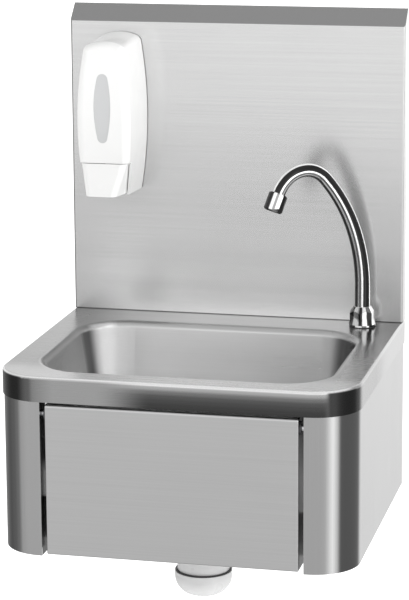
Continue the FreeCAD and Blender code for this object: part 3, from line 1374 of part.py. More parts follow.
def soap_side_circle():
    """Centre and radius of the dispenser's bowed right side, in the front view."""
    points = [(SOAP_FOOT_WIDTH / 2, 0), (SOAP_WIDTH / 2, SOAP_WAIST), (SOAP_TOP_WIDTH / 2, SOAP_SIDE_TOP)]
    circle = arc(*[V(x, 0, rise) for x, rise in points]).Curve
    return circle.Center, circle.Radius


def soap_half_width(rise):
    centre, radius = soap_side_circle()
    return centre.x + math.sqrt(radius**2 - (rise - centre.z) ** 2)


def soap_drum(depth):
    """The big cylinder that bows the front, its surface moved in by depth."""
    start = soap_point(-SOAP_WIDTH, SOAP_FRONT_Y + DRUM_RADIUS, SOAP_HEIGHT / 2)
    return rod(start, RIGHT, DRUM_RADIUS - depth, 2 * SOAP_WIDTH)


def soap_form(side, front, low):
    """The dispenser's outer form, moved in by side and front, its lower end at the height low."""
    high = SOAP_SIDE_TOP - side
    middle = (low + high) / 2
    rights = [soap_point(soap_half_width(rise) - side, SOAP_BACK_Y, rise) for rise in (low, middle, high)]
    lefts = [soap_point(side - soap_half_width(rise), SOAP_BACK_Y, rise) for rise in (high, middle, low)]
    edges = [
        arc(*rights),
        arc(rights[2], soap_point(0, SOAP_BACK_Y, SOAP_HEIGHT - side), lefts[0]),
        arc(*lefts),
        line(lefts[2], rights[0]),
    ]
    front_y = SOAP_FRONT_Y + front
    depth = SOAP_BACK_Y - front_y
    drop = depth * math.tan(math.radians(SOAP_TOP_SLOPE))
    block = Part.Face(Part.Wire(edges)).extrude(FRONT * depth + DOWN * drop)
    block = fillet_where(
        block, SOAP_TOP_CORNER - side, lambda b: near(b.XMin, b.XMax) and b.ZMin > SOAP_Z + middle
    )
    below = soap_zone(front_y - 1, SOAP_BACK_Y + 1, low - drop - 1, low)
    bowed = block.common(soap_drum(front)).cut(below)
    limit = front_y + SOAP_FRONT_BOW * 2
    foot = SOAP_Z + low + 1
    return fillet_where(
        bowed, SOAP_FRONT_RADIUS - max(side, front), lambda b: b.YMax < limit and b.ZMax > foot
    )


def soap_zone(front_y, back_y, low, high):
    return box(SOAP_X - SOAP_WIDTH, SOAP_X + SOAP_WIDTH, front_y, back_y, SOAP_Z + low, SOAP_Z + high)


def window_prism(clearance):
    half = WINDOW_WIDTH / 2 - clearance
    end_half = WINDOW_END_WIDTH / 2 - clearance
    foot_half = WINDOW_FOOT_WIDTH / 2 - clearance
    tip = WINDOW_HEIGHT / 2 - clearance
    shoulder = tip - WINDOW_END_RISE
    y = SOAP_FRONT_Y - 1

    def place(x, rise):
        return soap_point(x, y, WINDOW_RISE + rise)

    edges = [
        arc(place(foot_half, -shoulder), place(half, 0), place(end_half, shoulder)),
        arc(place(end_half, shoulder), place(0, tip), place(-end_half, shoulder)),
        arc(place(-end_half, shoulder), place(-half, 0), place(-foot_half, -shoulder)),
        arc(place(-foot_half, -shoulder), place(0, -tip), place(foot_half, -shoulder)),
    ]
    return Part.Face(Part.Wire(edges)).extrude(BACK * (SOAP_FRONT_RADIUS + 1))


def pin_pair(rise, y, first, last, radius):
    """Two mirrored pins across X, from first to last away from the dispenser's middle."""
    right = rod(soap_point(first, y, rise), RIGHT, radius, last - first)
    left = rod(soap_point(-first, y, rise), RIGHT * -1, radius, last - first)
    return [left, right]


def lever_pin_ends():
    inner = soap_half_width(LEVER_PIVOT_RISE) - SOAP_WALL
    return inner - SIDE_GAP - SOAP_WALL - 1, inner + PIN_BITE


def hinge_pin_ends():
    return PLATE_WIDTH / 2 - HINGE_EAR_THICKNESS, soap_half_width(HINGE_RISE) - SOAP_WALL + PIN_BITE


def soap_cover():
    shell = soap_form(0, 0, SOAP_FOOT_RISE).cut(soap_form(SOAP_WALL, SOAP_WALL, SOAP_FOOT_RISE - SOAP_WALL))
    lever_zone = soap_zone(SOAP_FRONT_Y - 1, HINGE_Y, -1, SEAM_RISE).cut(soap_drum(LEVER_SIDE_DEPTH))
    swing_radius = HINGE_SETBACK - SIDE_GAP
    swing = rod(soap_point(-SOAP_WIDTH, HINGE_Y, HINGE_RISE), RIGHT, swing_radius, 2 * SOAP_WIDTH)
    heel = soap_zone(HINGE_Y, SOAP_BACK_Y + 1, -1, HINGE_RISE).cut(swing)
    slope = polygon_prism(
        [soap_point(-SOAP_WIDTH, y, rise) for y, rise in (
            (HINGE_Y, SOAP_FOOT_RISE), (SOAP_FRONT_Y, SOAP_FOOT_RISE + SOAP_FOOT_SLOPE), (SOAP_FRONT_Y, 0)
        )],
        RIGHT * (2 * SOAP_WIDTH),
    )
    lever_first, lever_last = lever_pin_ends()
    hinge_first, hinge_last = hinge_pin_ends()
    cuts = [lever_zone, heel, slope, window_prism(0)]
    cuts += pin_pair(LEVER_PIVOT_RISE, LEVER_PIVOT_Y, lever_first, lever_last, LEVER_PIN_RADIUS + BORE_GAP)
    cuts += pin_pair(HINGE_RISE, HINGE_Y, hinge_first, hinge_last, HINGE_PIN_RADIUS + BORE_GAP)
    return shell.cut(cuts)


def soap_window():
    sheet = soap_drum(WINDOW_SINK).cut(soap_drum(WINDOW_SINK + WINDOW_THICKNESS))
    return sheet.common(window_prism(BORE_GAP))


def lever_form(inset, spare):
    """The lever's wedge, its faces moved in by inset and its three open ends moved out by spare."""
    span = LEVER_TOP_RISE - LEVER_FOOT_RISE
    top_y = SOAP_FRONT_Y + DRUM_RADIUS - math.sqrt(DRUM_RADIUS**2 - (SOAP_HEIGHT / 2 - LEVER_TOP_RISE) ** 2)
    top_half = soap_half_width(LEVER_TOP_RISE) - LEVER_INSET
    foot_half = soap_half_width(LEVER_FOOT_RISE) - LEVER_INSET
    sections = []
    for share in (-spare / span, 1 + spare / span):
        rise = LEVER_TOP_RISE - span * share
        half = top_half + (foot_half - top_half) * share - inset
        front_half = top_half + (LEVER_NOSE_WIDTH / 2 - top_half) * share - inset
        front_y = top_y + (SOAP_FRONT_Y - LEVER_NOSE - top_y) * share + inset
        side_y = SOAP_FRONT_Y + LEVER_SIDE_DEPTH
        back_y = SOAP_FRONT_Y + LEVER_REACH + spare
        plan = [(half, back_y), (half, side_y), (front_half, front_y)]
        plan += [(-x, y) for x, y in reversed(plan)]
        corners = [soap_point(x, y, rise) for x, y in plan]
        sections.append(Part.makePolygon(corners + corners[:1]))
    wedge = Part.makeLoft(sections, True, True)
    limit = SOAP_FRONT_Y + LEVER_SIDE_DEPTH / 2
    return fillet_where(wedge, LEVER_EDGE_RADIUS - inset, lambda b: b.ZLength > span / 2 and b.YMax < limit)


def thumb_dish():
    """The ball that presses the thumb's hollow into the lever's front."""
    lean = math.atan2(LEVER_NOSE, LEVER_TOP_RISE - LEVER_FOOT_RISE)
    outward = V(0, -math.cos(lean), math.sin(lean))
    ball_radius = (THUMB_DISH_RADIUS**2 + THUMB_DISH_DEPTH**2) / (2 * THUMB_DISH_DEPTH)
    face_y = SOAP_FRONT_Y - LEVER_NOSE + (THUMB_DISH_RISE - LEVER_FOOT_RISE) * math.tan(lean)
    middle = soap_point(0, face_y, THUMB_DISH_RISE) + outward * (ball_radius - THUMB_DISH_DEPTH)
    return Part.makeSphere(ball_radius, middle)


def soap_lever():
    outer = lever_form(0, 0)
    inner = lever_form(SOAP_WALL, 1)
    half = LEVER_PAD_WIDTH / 2
    nose_radius = LEVER_PAD_HEIGHT / 2
    nose_y = PAD_Y - nose_radius
    axis_z = SOAP_Z + PUMP_RISE
    bar_y = SOAP_FRONT_Y - LEVER_NOSE
    bar = box(SOAP_X - half, SOAP_X + half, bar_y, nose_y, axis_z - nose_radius, axis_z + nose_radius)
    nose = rod(soap_point(-half, nose_y, PUMP_RISE), RIGHT, nose_radius, LEVER_PAD_WIDTH)
    first, last = lever_pin_ends()
    holes = pin_pair(LEVER_PIVOT_RISE, LEVER_PIVOT_Y, first - 1, last, LEVER_PIN_RADIUS + BORE_GAP)
    return joined([outer.cut(inner), bar.common(outer), nose]).cut(holes + [thumb_dish()])


def lever_pins():
    first, last = lever_pin_ends()
    return Part.makeCompound(pin_pair(LEVER_PIVOT_RISE, LEVER_PIVOT_Y, first, last, LEVER_PIN_RADIUS))


def hinge_pins():
    first, last = hinge_pin_ends()
    return Part.makeCompound(pin_pair(HINGE_RISE, HINGE_Y, first, last - BORE_GAP, HINGE_PIN_RADIUS))


def soap_back_plate():
    half = PLATE_WIDTH / 2
    top = SOAP_Z + SOAP_HEIGHT - PLATE_TOP_DROP
    plate = box(SOAP_X - half, SOAP_X + half, PLATE_FRONT_Y, SPLASH_Y, SOAP_Z + PLATE_RISE, top)
    shapes = [plate]
    for side in (-1, 1):
        first = half - HINGE_EAR_THICKNESS if side > 0 else -half
        ear = rod(soap_point(first, HINGE_Y, HINGE_RISE), RIGHT, HINGE_EAR_RADIUS, HINGE_EAR_THICKNESS)
        web = box(
            SOAP_X + first, SOAP_X + first + HINGE_EAR_THICKNESS, HINGE_Y, PLATE_FRONT_Y,
            SOAP_Z + HINGE_RISE - HINGE_EAR_RADIUS, SOAP_Z + HINGE_RISE + HINGE_EAR_RADIUS,
        )
        shapes += [ear, web]
    holes = []
    for place in plate_screw_places():
        holes.append(rod(place + BACK, FRONT, PLATE_SCREW_RADIUS + HOLE_GAP, PLATE_THICKNESS + 2))
        mouth = V(place.x, PLATE_FRONT_Y - 1, place.z)
        holes.append(rod(mouth, BACK, PLATE_SCREW_HEAD + HOLE_GAP, PLATE_SCREW_HEAD_HEIGHT + 1))
    first, last = hinge_pin_ends()
    holes += pin_pair(HINGE_RISE, HINGE_Y, first - 1, last, HINGE_PIN_RADIUS + BORE_GAP)
    return joined(shapes).cut(holes)


def plate_screws():
    screws = []
    for place in plate_screw_places():
        seat = V(place.x, PLATE_FRONT_Y + PLATE_SCREW_HEAD_HEIGHT, place.z)
        head = rod(seat, FRONT, PLATE_SCREW_HEAD, PLATE_SCREW_HEAD_HEIGHT)
        screws.append(joined([head, rod(seat, BACK, PLATE_SCREW_RADIUS, PLATE_SCREW_LENGTH)]))
    return Part.makeCompound(screws)


def reservoir_block(wall):
    half = RESERVOIR_WIDTH / 2 - wall
    block = box(
        SOAP_X - half, SOAP_X + half, PLATE_FRONT_Y - RESERVOIR_DEPTH + wall, PLATE_FRONT_Y - wall,
        SOAP_Z + RESERVOIR_RISE + wall, SOAP_Z + RESERVOIR_TOP_RISE - wall,
    )
    return fillet_where(block, RESERVOIR_RADIUS - wall, lambda b: b.ZMax - b.ZMin > RESERVOIR_RADIUS)


def soap_reservoir():
    outer = reservoir_block(0)
    neck_top = soap_point(0, RESERVOIR_MIDDLE_Y, RESERVOIR_RISE)
    neck = rod(neck_top, DOWN, RESERVOIR_NECK_RADIUS, RESERVOIR_NECK_LENGTH)
    neck_bore = RESERVOIR_NECK_RADIUS - RESERVOIR_WALL
    drain = rod(
        neck_top + UP * (RESERVOIR_WALL + 1), DOWN, neck_bore, RESERVOIR_NECK_LENGTH + RESERVOIR_WALL + 2
    )
    fill_start = soap_point(0, RESERVOIR_MIDDLE_Y, RESERVOIR_TOP_RISE - RESERVOIR_WALL - 1)
    fill = rod(fill_start, UP, FILL_RADIUS - RESERVOIR_WALL, RESERVOIR_WALL + 2)
    return joined([outer, neck]).cut([reservoir_block(RESERVOIR_WALL), drain, fill])


def reservoir_cap():
    seat = soap_point(0, RESERVOIR_MIDDLE_Y, RESERVOIR_TOP_RISE)
    lid = rod(seat, UP, FILL_RADIUS, FILL_CAP_HEIGHT)
    lid = fillet_where(lid, FILL_CAP_HEIGHT / 4, lambda b: near(b.ZMin, seat.z + FILL_CAP_HEIGHT))
    plug = rod(seat, DOWN, FILL_RADIUS - RESERVOIR_WALL - BORE_GAP, RESERVOIR_WALL * 2)
    return joined([lid, plug])


def pump_body():
    barrel = rod(soap_point(0, PLATE_FRONT_Y, PUMP_RISE), FRONT, PUMP_RADIUS, PUMP_LENGTH)
    boss_radius = RESERVOIR_NECK_RADIUS + BORE_GAP + PUMP_WALL
    boss_length = RESERVOIR_RISE - PUMP_RISE - SIDE_GAP
    boss = rod(soap_point(0, RESERVOIR_MIDDLE_Y, PUMP_RISE), UP, boss_radius, boss_length)
    chamber_length = PUMP_LENGTH - 2 * PUMP_WALL
    chamber = rod(
        soap_point(0, PLATE_FRONT_Y - PUMP_WALL, PUMP_RISE), FRONT, PUMP_RADIUS - PUMP_WALL, chamber_length
    )
    stem_hole = rod(
        soap_point(0, PUMP_FRONT_Y - 1, PUMP_RISE), BACK, PUMP_STEM_RADIUS + BORE_GAP, PUMP_WALL + 2
    )
    socket_floor = soap_point(0, RESERVOIR_MIDDLE_Y, NECK_END_RISE - SIDE_GAP)
    socket = rod(socket_floor, UP, RESERVOIR_NECK_RADIUS + BORE_GAP, boss_length)
    duct = rod(soap_point(0, RESERVOIR_MIDDLE_Y, PUMP_RISE), UP, PUMP_STEM_RADIUS, boss_length)
    drip = rod(soap_point(0, RESERVOIR_MIDDLE_Y, PUMP_RISE), DOWN, NOZZLE_BORE, PUMP_RADIUS + 1)
    seat = rod(soap_point(0, RESERVOIR_MIDDLE_Y, PUMP_RISE - PUMP_RADIUS - 1), UP, NOZZLE_RADIUS, PUMP_WALL)
    return joined([barrel, boss]).cut([chamber, stem_hole, socket, duct, drip, seat])


def soap_nozzle():
    top = soap_point(0, RESERVOIR_MIDDLE_Y, PUMP_RISE - PUMP_RADIUS + PUMP_WALL - 1)
    body = rod(top, DOWN, NOZZLE_RADIUS - BORE_GAP, PUMP_WALL)
    tip = cone(
        top + DOWN * PUMP_WALL, DOWN, NOZZLE_RADIUS - BORE_GAP, NOZZLE_BORE * 2, NOZZLE_LENGTH - PUMP_WALL
    )
    return joined([body, tip]).cut(rod(top + UP, DOWN, NOZZLE_BORE, NOZZLE_LENGTH + 2))


def pump_plunger():
    start = soap_point(0, BUTTON_Y, PUMP_RISE)
    button = rod(start, BACK, PUMP_BUTTON_RADIUS, PUMP_BUTTON_THICKNESS)
    stem_length = PUMP_FRONT_Y + PUMP_STEM_INSIDE - BUTTON_Y
    stem = rod(start, BACK, PUMP_STEM_RADIUS, stem_length)
    piston = rod(start + BACK * stem_length, BACK, PUMP_RADIUS - PUMP_WALL - SIDE_GAP, PUMP_WALL)
    return joined([button, stem, piston])


def pump_spring():
    start = soap_point(0, BUTTON_Y + PUMP_BUTTON_THICKNESS, PUMP_RISE)
    length = PUMP_FRONT_Y - BUTTON_Y - PUMP_BUTTON_THICKNESS
    return coil_spring("pump_spring", start, BACK, RIGHT, PUMP_COIL_RADIUS, PUMP_WIRE, PUMP_TURNS, length)


PIECES = {
    "deck_and_bowl": deck_and_bowl,
    "backsplash": backsplash,
    "splash_screws": splash_screws,
    "splash_nuts": splash_nuts,
    "right_side_panel": right_side_panel,
    "left_side_panel": lambda: mirror_x(right_side_panel()),
    "wall_rail": wall_rail,
    "cross_rail": cross_rail,
    "stop_buffers": stop_buffers,
    "knee_panel": knee_panel,
    "pivot_pins": pivot_pins,
    "pivot_bushes": pivot_bushes,
    "push_pad": push_pad,
    "valve_body": valve_body,
    "valve_locknut": valve_locknut,
    "valve_plunger": valve_plunger,
    "valve_return_spring": valve_return_spring,
    "mixer_body": mixer_body,
    "mixer_knob": mixer_knob,
    "mixer_bracket": mixer_bracket,
    "bracket_screws": bracket_screws,
    "inlet_nipples": inlet_nipples,
    "mixer_hose": mixer_hose,
    "spout_hose": spout_hose,
    "hose_nuts": hose_nuts,
    "spout_base": spout_base,
    "base_gasket": base_gasket,
    "shank_washer": shank_washer,
    "shank_backnut": shank_backnut,
    "spout_nut": spout_nut,
    "spout_tube": spout_tube,
    "spout_o_rings": spout_o_rings,
    "aerator_housing": aerator_housing,
    "aerator_insert": aerator_insert,
    "waste_gasket": waste_gasket,
    "waste_strainer": waste_strainer,
    "waste_screw": waste_screw,
    "waste_lower_gasket": waste_lower_gasket,
    "waste_body": waste_body,
    "trap_inlet_nut": trap_inlet_nut,
    "trap_dip_tube": trap_dip_tube,
    "trap_body": trap_body,
    "trap_cup_seal": trap_cup_seal,
    "trap_cup": trap_cup,
    "trap_outlet_nut": trap_outlet_nut,
    "waste_pipe": waste_pipe,
    "soap_back_plate": soap_back_plate,
    "plate_screws": plate_screws,
    "soap_cover": soap_cover,
    "soap_window": soap_window,
    "soap_lever": soap_lever,
    "lever_pins": lever_pins,
    "hinge_pins": hinge_pins,
    "soap_reservoir": soap_reservoir,
    "reservoir_cap": reservoir_cap,
    "pump_body": pump_body,
    "soap_nozzle": soap_nozzle,
    "pump_plunger": pump_plunger,
    "pump_spring": pump_spring,
}

for piece_name, make_piece in PIECES.items():
    save(piece_name, make_piece())
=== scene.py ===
import json
import math

import bmesh
import bpy
from mathutils import Matrix, Vector


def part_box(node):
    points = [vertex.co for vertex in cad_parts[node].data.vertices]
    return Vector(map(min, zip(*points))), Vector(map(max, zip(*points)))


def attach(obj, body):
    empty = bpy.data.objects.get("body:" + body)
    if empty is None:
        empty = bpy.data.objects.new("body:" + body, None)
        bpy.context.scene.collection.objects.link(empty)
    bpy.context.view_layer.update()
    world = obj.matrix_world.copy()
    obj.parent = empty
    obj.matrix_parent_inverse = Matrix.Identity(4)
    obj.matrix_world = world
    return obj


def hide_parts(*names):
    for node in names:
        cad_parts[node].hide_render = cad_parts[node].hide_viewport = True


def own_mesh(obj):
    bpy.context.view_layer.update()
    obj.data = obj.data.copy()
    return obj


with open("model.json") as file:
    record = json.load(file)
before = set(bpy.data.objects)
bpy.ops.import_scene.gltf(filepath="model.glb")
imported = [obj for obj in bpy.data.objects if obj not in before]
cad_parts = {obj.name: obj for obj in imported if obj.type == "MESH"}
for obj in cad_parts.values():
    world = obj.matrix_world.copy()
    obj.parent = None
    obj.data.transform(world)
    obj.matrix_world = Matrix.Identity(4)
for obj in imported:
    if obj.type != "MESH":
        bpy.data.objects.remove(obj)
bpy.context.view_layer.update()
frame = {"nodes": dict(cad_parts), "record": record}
scene = bpy.context.scene
scene.view_settings.view_transform = "Standard"

# Camera of the photograph, in the frame of the model, metres and degrees
CAMERA_PLACE = Vector((0.6126, -2.7682, 0.7213))
CAMERA_YAW = 13.328
CAMERA_PITCH = 11.44
CAMERA_ROLL = -0.352
FOCAL_PIXELS = 2421.0
IMAGE_HEIGHT = 600.0
PRINCIPAL_ROW = 240.0
SENSOR = 36.0
CLIP_END = 200.0


def make_camera():
    yaw = math.radians(CAMERA_YAW)
    pitch = math.radians(CAMERA_PITCH)
    roll = math.radians(CAMERA_ROLL)
    ahead = Vector((-math.sin(yaw) * math.cos(pitch), math.cos(yaw) * math.cos(pitch), -math.sin(pitch)))
    level = Vector((math.cos(yaw), math.sin(yaw), 0))
    upright = level.cross(ahead)
    right = level * math.cos(roll) + upright * math.sin(roll)
    up = upright * math.cos(roll) - level * math.sin(roll)
    data = bpy.data.cameras.new("photo_camera")
    data.sensor_fit = "VERTICAL"
    data.sensor_height = SENSOR
    data.lens = FOCAL_PIXELS * SENSOR / IMAGE_HEIGHT
    data.shift_y = (PRINCIPAL_ROW - IMAGE_HEIGHT / 2) / IMAGE_HEIGHT
    data.clip_end = CLIP_END
    camera = bpy.data.objects.new("photo_camera", data)
    scene.collection.objects.link(camera)
    turn = Matrix((right, up, -ahead)).transposed().to_4x4()
    camera.matrix_world = Matrix.Translation(CAMERA_PLACE) @ turn
    scene.camera = camera


make_camera()


def grey(level):
    return (level, level, level, 1)


class Nodes:
    """A small helper for building a node tree."""

    def __init__(self, tree):
        self.tree = tree
        tree.nodes.clear()

    def add(self, kind, **settings):
        node = self.tree.nodes.new(kind)
        for name, value in settings.items():
            setattr(node, name, value)
        return node

    def link(self, source, target):
        self.tree.links.new(source, target)

    def feed(self, value, socket):
        """Links an output or sets a plain value."""
        if isinstance(value, bpy.types.NodeSocket):
            self.link(value, socket)
        else:
            socket.default_value = value

    def math(self, operation, first, second=0.0):
        node = self.add("ShaderNodeMath", operation=operation)
        for value, socket in zip((first, second), node.inputs):
            self.feed(value, socket)
        return node.outputs[0]

    def span(self, value, low, high, first, last, smooth=False):
        node = self.add("ShaderNodeMapRange", interpolation_type="SMOOTHSTEP" if smooth else "LINEAR")
        for item, socket in zip((value, low, high, first, last), node.inputs):
            self.feed(item, socket)
        return node.outputs[0]

    def mix(self, factor, first, second, blend="MIX"):
        node = self.add("ShaderNodeMix", data_type="RGBA", blend_type=blend)
        self.feed(factor, node.inputs[0])
        self.feed(first, node.inputs[6])
        self.feed(second, node.inputs[7])
        return node.outputs[2]

    def ramp(self, value, stops):
        """A grey ramp from (position, level) pairs."""
        node = self.add("ShaderNodeValToRGB")
        ramp = node.color_ramp
        ramp.interpolation = "EASE"
        while len(ramp.elements) < len(stops):
            ramp.elements.new(0.5)
        for element, (position, level) in zip(ramp.elements, stops):
            element.position = position
            element.color = grey(level)
        self.feed(value, node.inputs[0])
        return node.outputs[0]


# Studio surround: brightness round the horizon by bearing, 0 at the front and 90 at the right
BEARINGS = [
    (-180, 1.30), (-168, 1.20), (-158, 0.7), (-88, 0.7), (-74, 0.75), (-62, 0.9), (-48, 1.0),
    (36, 1.0), (46, 1.4), (55, 2.0), (63, 1.5), (73, 0.75), (84, 0.65), (136, 0.65), (152, 0.9),
    (162, 1.2), (180, 1.30),
]
# and by elevation, as the height of a unit direction
ELEVATIONS = [
    (-1.0, 0.55), (-0.32, 0.72), (-0.22, 0.80), (-0.1, 1.12), (0.1, 1.25), (0.35, 1.20),
    (0.6, 0.85), (0.85, 0.8), (1.0, 0.8),
]
RAMP_TOP = 2.0
# Heights between which the bearing gives way to one even level
STEEP_SPAN = (0.45, 0.9)


def make_world():
    world = bpy.data.worlds.new("studio")
    scene.world = world
    world.use_nodes = True
    nodes = Nodes(world.node_tree)
    direction = nodes.add("ShaderNodeTexCoord").outputs["Generated"]
    parts = nodes.add("ShaderNodeSeparateXYZ")
    nodes.link(direction, parts.inputs[0])
    across, deep, high = parts.outputs
    bearing = nodes.math("ARCTAN2", across, nodes.math("MULTIPLY", deep, -1.0))
    turn = nodes.span(bearing, -math.pi, math.pi, 0.0, 1.0)
    round_level = nodes.ramp(turn, [((angle + 180) / 360, level / RAMP_TOP) for angle, level in BEARINGS])
    height = nodes.span(high, -1.0, 1.0, 0.0, 1.0)
    high_level = nodes.ramp(height, [((level + 1) / 2, value / RAMP_TOP) for level, value in ELEVATIONS])
    steep = nodes.span(nodes.math("ABSOLUTE", high), *STEEP_SPAN, 0.0, 1.0, True)
    even_level = grey(1 / RAMP_TOP)
    level = nodes.mix(1.0, nodes.mix(steep, round_level, even_level), high_level, "MULTIPLY")
    surround = nodes.add("ShaderNodeBackground")
    nodes.link(level, surround.inputs[0])
    surround.inputs[1].default_value = RAMP_TOP * RAMP_TOP
    plain = nodes.add("ShaderNodeBackground")
    plain.inputs[0].default_value = grey(1)
    choose = nodes.add("ShaderNodeMixShader")
    nodes.link(nodes.add("ShaderNodeLightPath").outputs["Is Camera Ray"], choose.inputs[0])
    nodes.link(surround.outputs[0], choose.inputs[1])
    nodes.link(plain.outputs[0], choose.inputs[2])
    nodes.link(choose.outputs[0], nodes.add("ShaderNodeOutputWorld").inputs[0])


make_world()


def new_material(name):
    material = bpy.data.materials.new(name)
    material.use_nodes = True
    nodes = Nodes(material.node_tree)
    shader = nodes.add("ShaderNodeBsdfPrincipled")
    output = nodes.add("ShaderNodeOutputMaterial")
    nodes.link(shader.outputs[0], output.inputs[0])
    return material, nodes, shader


NOISE_ROUGHNESS = 0.55
# The middle part of what a noise gives, which its tones and roughness are spread over
NOISE_SPAN = (0.3, 0.7)
GRAIN_DEPTH = 0.00005


def noise(nodes, stretch, detail=3.0):
    """Noise in object space, its frequency per metre along each axis given by stretch."""
    place = nodes.add("ShaderNodeTexCoord").outputs["Object"]
    mapping = nodes.add("ShaderNodeMapping")
    mapping.inputs["Scale"].default_value = stretch
    nodes.link(place, mapping.inputs["Vector"])
    texture = nodes.add("ShaderNodeTexNoise")
    texture.inputs["Scale"].default_value = 1.0
    texture.inputs["Detail"].default_value = detail
    texture.inputs["Roughness"].default_value = NOISE_ROUGHNESS
    nodes.link(mapping.outputs[0], texture.inputs["Vector"])
    return texture.outputs["Fac"]


def bump(nodes, shader, height, strength, distance):
    node = nodes.add("ShaderNodeBump")
    node.inputs["Strength"].default_value = strength
    node.inputs["Distance"].default_value = distance
    nodes.link(height, node.inputs["Height"])
    nodes.link(node.outputs[0], shader.inputs["Normal"])


def position(nodes):
    """The object-space place of the shaded point, as its three numbers."""
    parts = nodes.add("ShaderNodeSeparateXYZ")
    nodes.link(nodes.add("ShaderNodeTexCoord").outputs["Object"], parts.inputs[0])
    return parts.outputs


def facing(nodes):
    """The bearing of the surface in degrees, 0 at the front and 90 at the right, and its upward share."""
    parts = nodes.add("ShaderNodeSeparateXYZ")
    nodes.link(nodes.add("ShaderNodeNewGeometry").outputs["Normal"], parts.inputs[0])
    across, deep, high = parts.outputs
    bearing = nodes.math("ARCTAN2", across, nodes.math("MULTIPLY", deep, -1.0))
    return nodes.math("MULTIPLY", bearing, math.degrees(1)), high


def beyond(nodes, value, limit):
    return nodes.math("GREATER_THAN", value, limit)


def both(nodes, *factors):
    product = factors[0]
    for factor in factors[1:]:
        product = nodes.math("MULTIPLY", product, factor)
    return product


# The folded flanges beside the knee panel, painted near-black as shade in the narrow gaps: from just inside
# its ends to just outside them, behind its face
GAP_INNER = 0.0014
GAP_OUTER = 0.0068
GAP_DEPTH = 0.0022
GAP_SHADE_TONE = 0.015


def gap_shade(nodes):
    """One on the folded flanges that line the two gaps beside the knee panel, where shade is painted."""
    low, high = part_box("knee_panel")
    x, y, z = position(nodes)
    away = nodes.math("ABSOLUTE", x)
    inner = beyond(nodes, away, high[0] - GAP_INNER)
    outer = beyond(nodes, nodes.math("MULTIPLY", away, -1.0), -high[0] - GAP_OUTER)
    return both(nodes, inner, outer, beyond(nodes, y, low[1] + GAP_DEPTH))


def by_bearing(nodes, bearing, stops):
    """A tone by the bearing of a surface, from (degrees, tone) stops."""
    turn = nodes.span(bearing, -180.0, 180.0, 0.0, 1.0)
    return nodes.ramp(turn, [((angle + 180) / 360, tone) for angle, tone in stops])


# Painted reflections and shade on the deck, as shares of bright steel: its flat top, its skirt and the walls
# of its bowl
DECK_TOP = 0.52
# A lighter painted reflection along the front strip of the deck's top
DECK_FRONT = 0.8
DECK_FRONT_SPAN = (0.03, 0.07)
SKIRT_HEIGHT = 0.028
# Painted reflections on the skirt: its front by height, lighter at its left, and its corners by bearing
SKIRT_FRONT = [
    (0.0, 0.06), (0.16, 0.07), (0.33, 0.09), (0.5, 0.12), (0.66, 0.22), (0.83, 0.5), (0.95, 0.8),
]
SKIRT_LEFT = 0.42
SKIRT_LEFT_SPAN = (-0.085, -0.02)
SKIRT_TURN = [
    (-180, 0.6), (-110, 0.6), (-90, 0.2), (-78, 0.1), (-60, 0.04), (-40, 0.02), (-28, 0.03),
    (-12, 0.14), (0, 0.3), (18, 0.3), (24, 0.12), (30, 0.05), (64, 0.03), (74, 0.1), (86, 0.6),
    (180, 0.6),
]
# Painted reflections on the bowl's walls, by bearing
BOWL_TURN = [
    (-180, 1.0), (-112, 1.0), (-100, 0.22), (-72, 0.22), (-40, 0.26), (-15, 0.85), (0, 0.97),
    (20, 1.0), (44, 1.0), (55, 0.85), (70, 0.19), (80, 0.19), (91, 0.4), (100, 0.5), (112, 1.0),
    (180, 1.0),
]
# Painted shade: the bowl's walls are darker under the rim
BOWL_CLIMB_SPAN = (-0.054, -0.012)
BOWL_CLIMB = 0.72
# Painted reflections on the bowl's rolled rim, by bearing
ROLL_TURN = [
    (-180, 0.6), (-100, 0.35), (-60, 0.4), (-25, 0.5), (20, 0.55), (34, 0.8), (54, 0.8), (70, 0.35),
    (100, 0.3), (180, 0.6),
]
# The bowl's back wall falls off in tone to the right, a painted reflection. It is duller, and so brighter,
# at its left and in the corner there, and the front wall is dull as well
BOWL_RIGHT_SPAN = (-0.04, 0.13)
BOWL_RIGHT = 0.82
BOWL_DULL = [
    (-180, 0.9), (-120, 0.9), (-104, 0.0), (-20, 0.0), (0, 0.35), (22, 0.4), (36, 0.85), (46, 0.8),
    (68, 0.0), (104, 0.0), (120, 0.9), (180, 0.9),
]
BOWL_DULL_SPAN = (-0.12, 0.0)
BOWL_FRONT_BEARING = 100.0
BOWL_ROUGHER = 0.02
# The right rear of the deck's top has a darker painted reflection, and is smoother
DECK_RIGHT_SPAN = (0.145, 0.185)
DECK_REAR_SPAN = (-0.21, -0.11)
DECK_REAR_RIGHT = 0.5
DECK_REAR_ROUGHER = -0.16
# The bowl's floor, which the backsplash mirrors, has a lighter painted reflection
BOWL_FLOOR_SPAN = (-0.06, -0.03)
BOWL_FLOOR = 0.85
# Painted reflection: the left of the deck's top is darker too, and so is the left end of the skirt
DECK_LEFT_SPAN = (-0.14, -0.03)
DECK_LEFT = 0.66
SKIRT_END_SPAN = (-0.172, -0.13)
SKIRT_END = 0.4
# Painted reflection: the rounded outer edge is darker where it faces right
EDGE_TURN = [(-180, 1.0), (48, 1.0), (66, 0.4), (114, 0.4), (132, 1.0), (180, 1.0)]
BOWL_SIDE_BORDER = 0.028
BOWL_FRONT_BORDER = 0.024
FRONT_RIGHT = (21.0, 29.0)
FRONT_LEFT = (-10.0, -2.0)
# Upward shares of a surface: steep walls of the bowl, both ends of the rounded outer edge and of the
# rolled rim, and where upright gives way to flat
BOWL_STEEP = (0.25, 0.45)
EDGE_START = (0.3, 0.6)
EDGE_END = (0.93, 0.99)
ROLL_START = (0.2, 0.45)
ROLL_END = (0.9, 0.99)
WALL_SPAN = (0.15, 0.75)


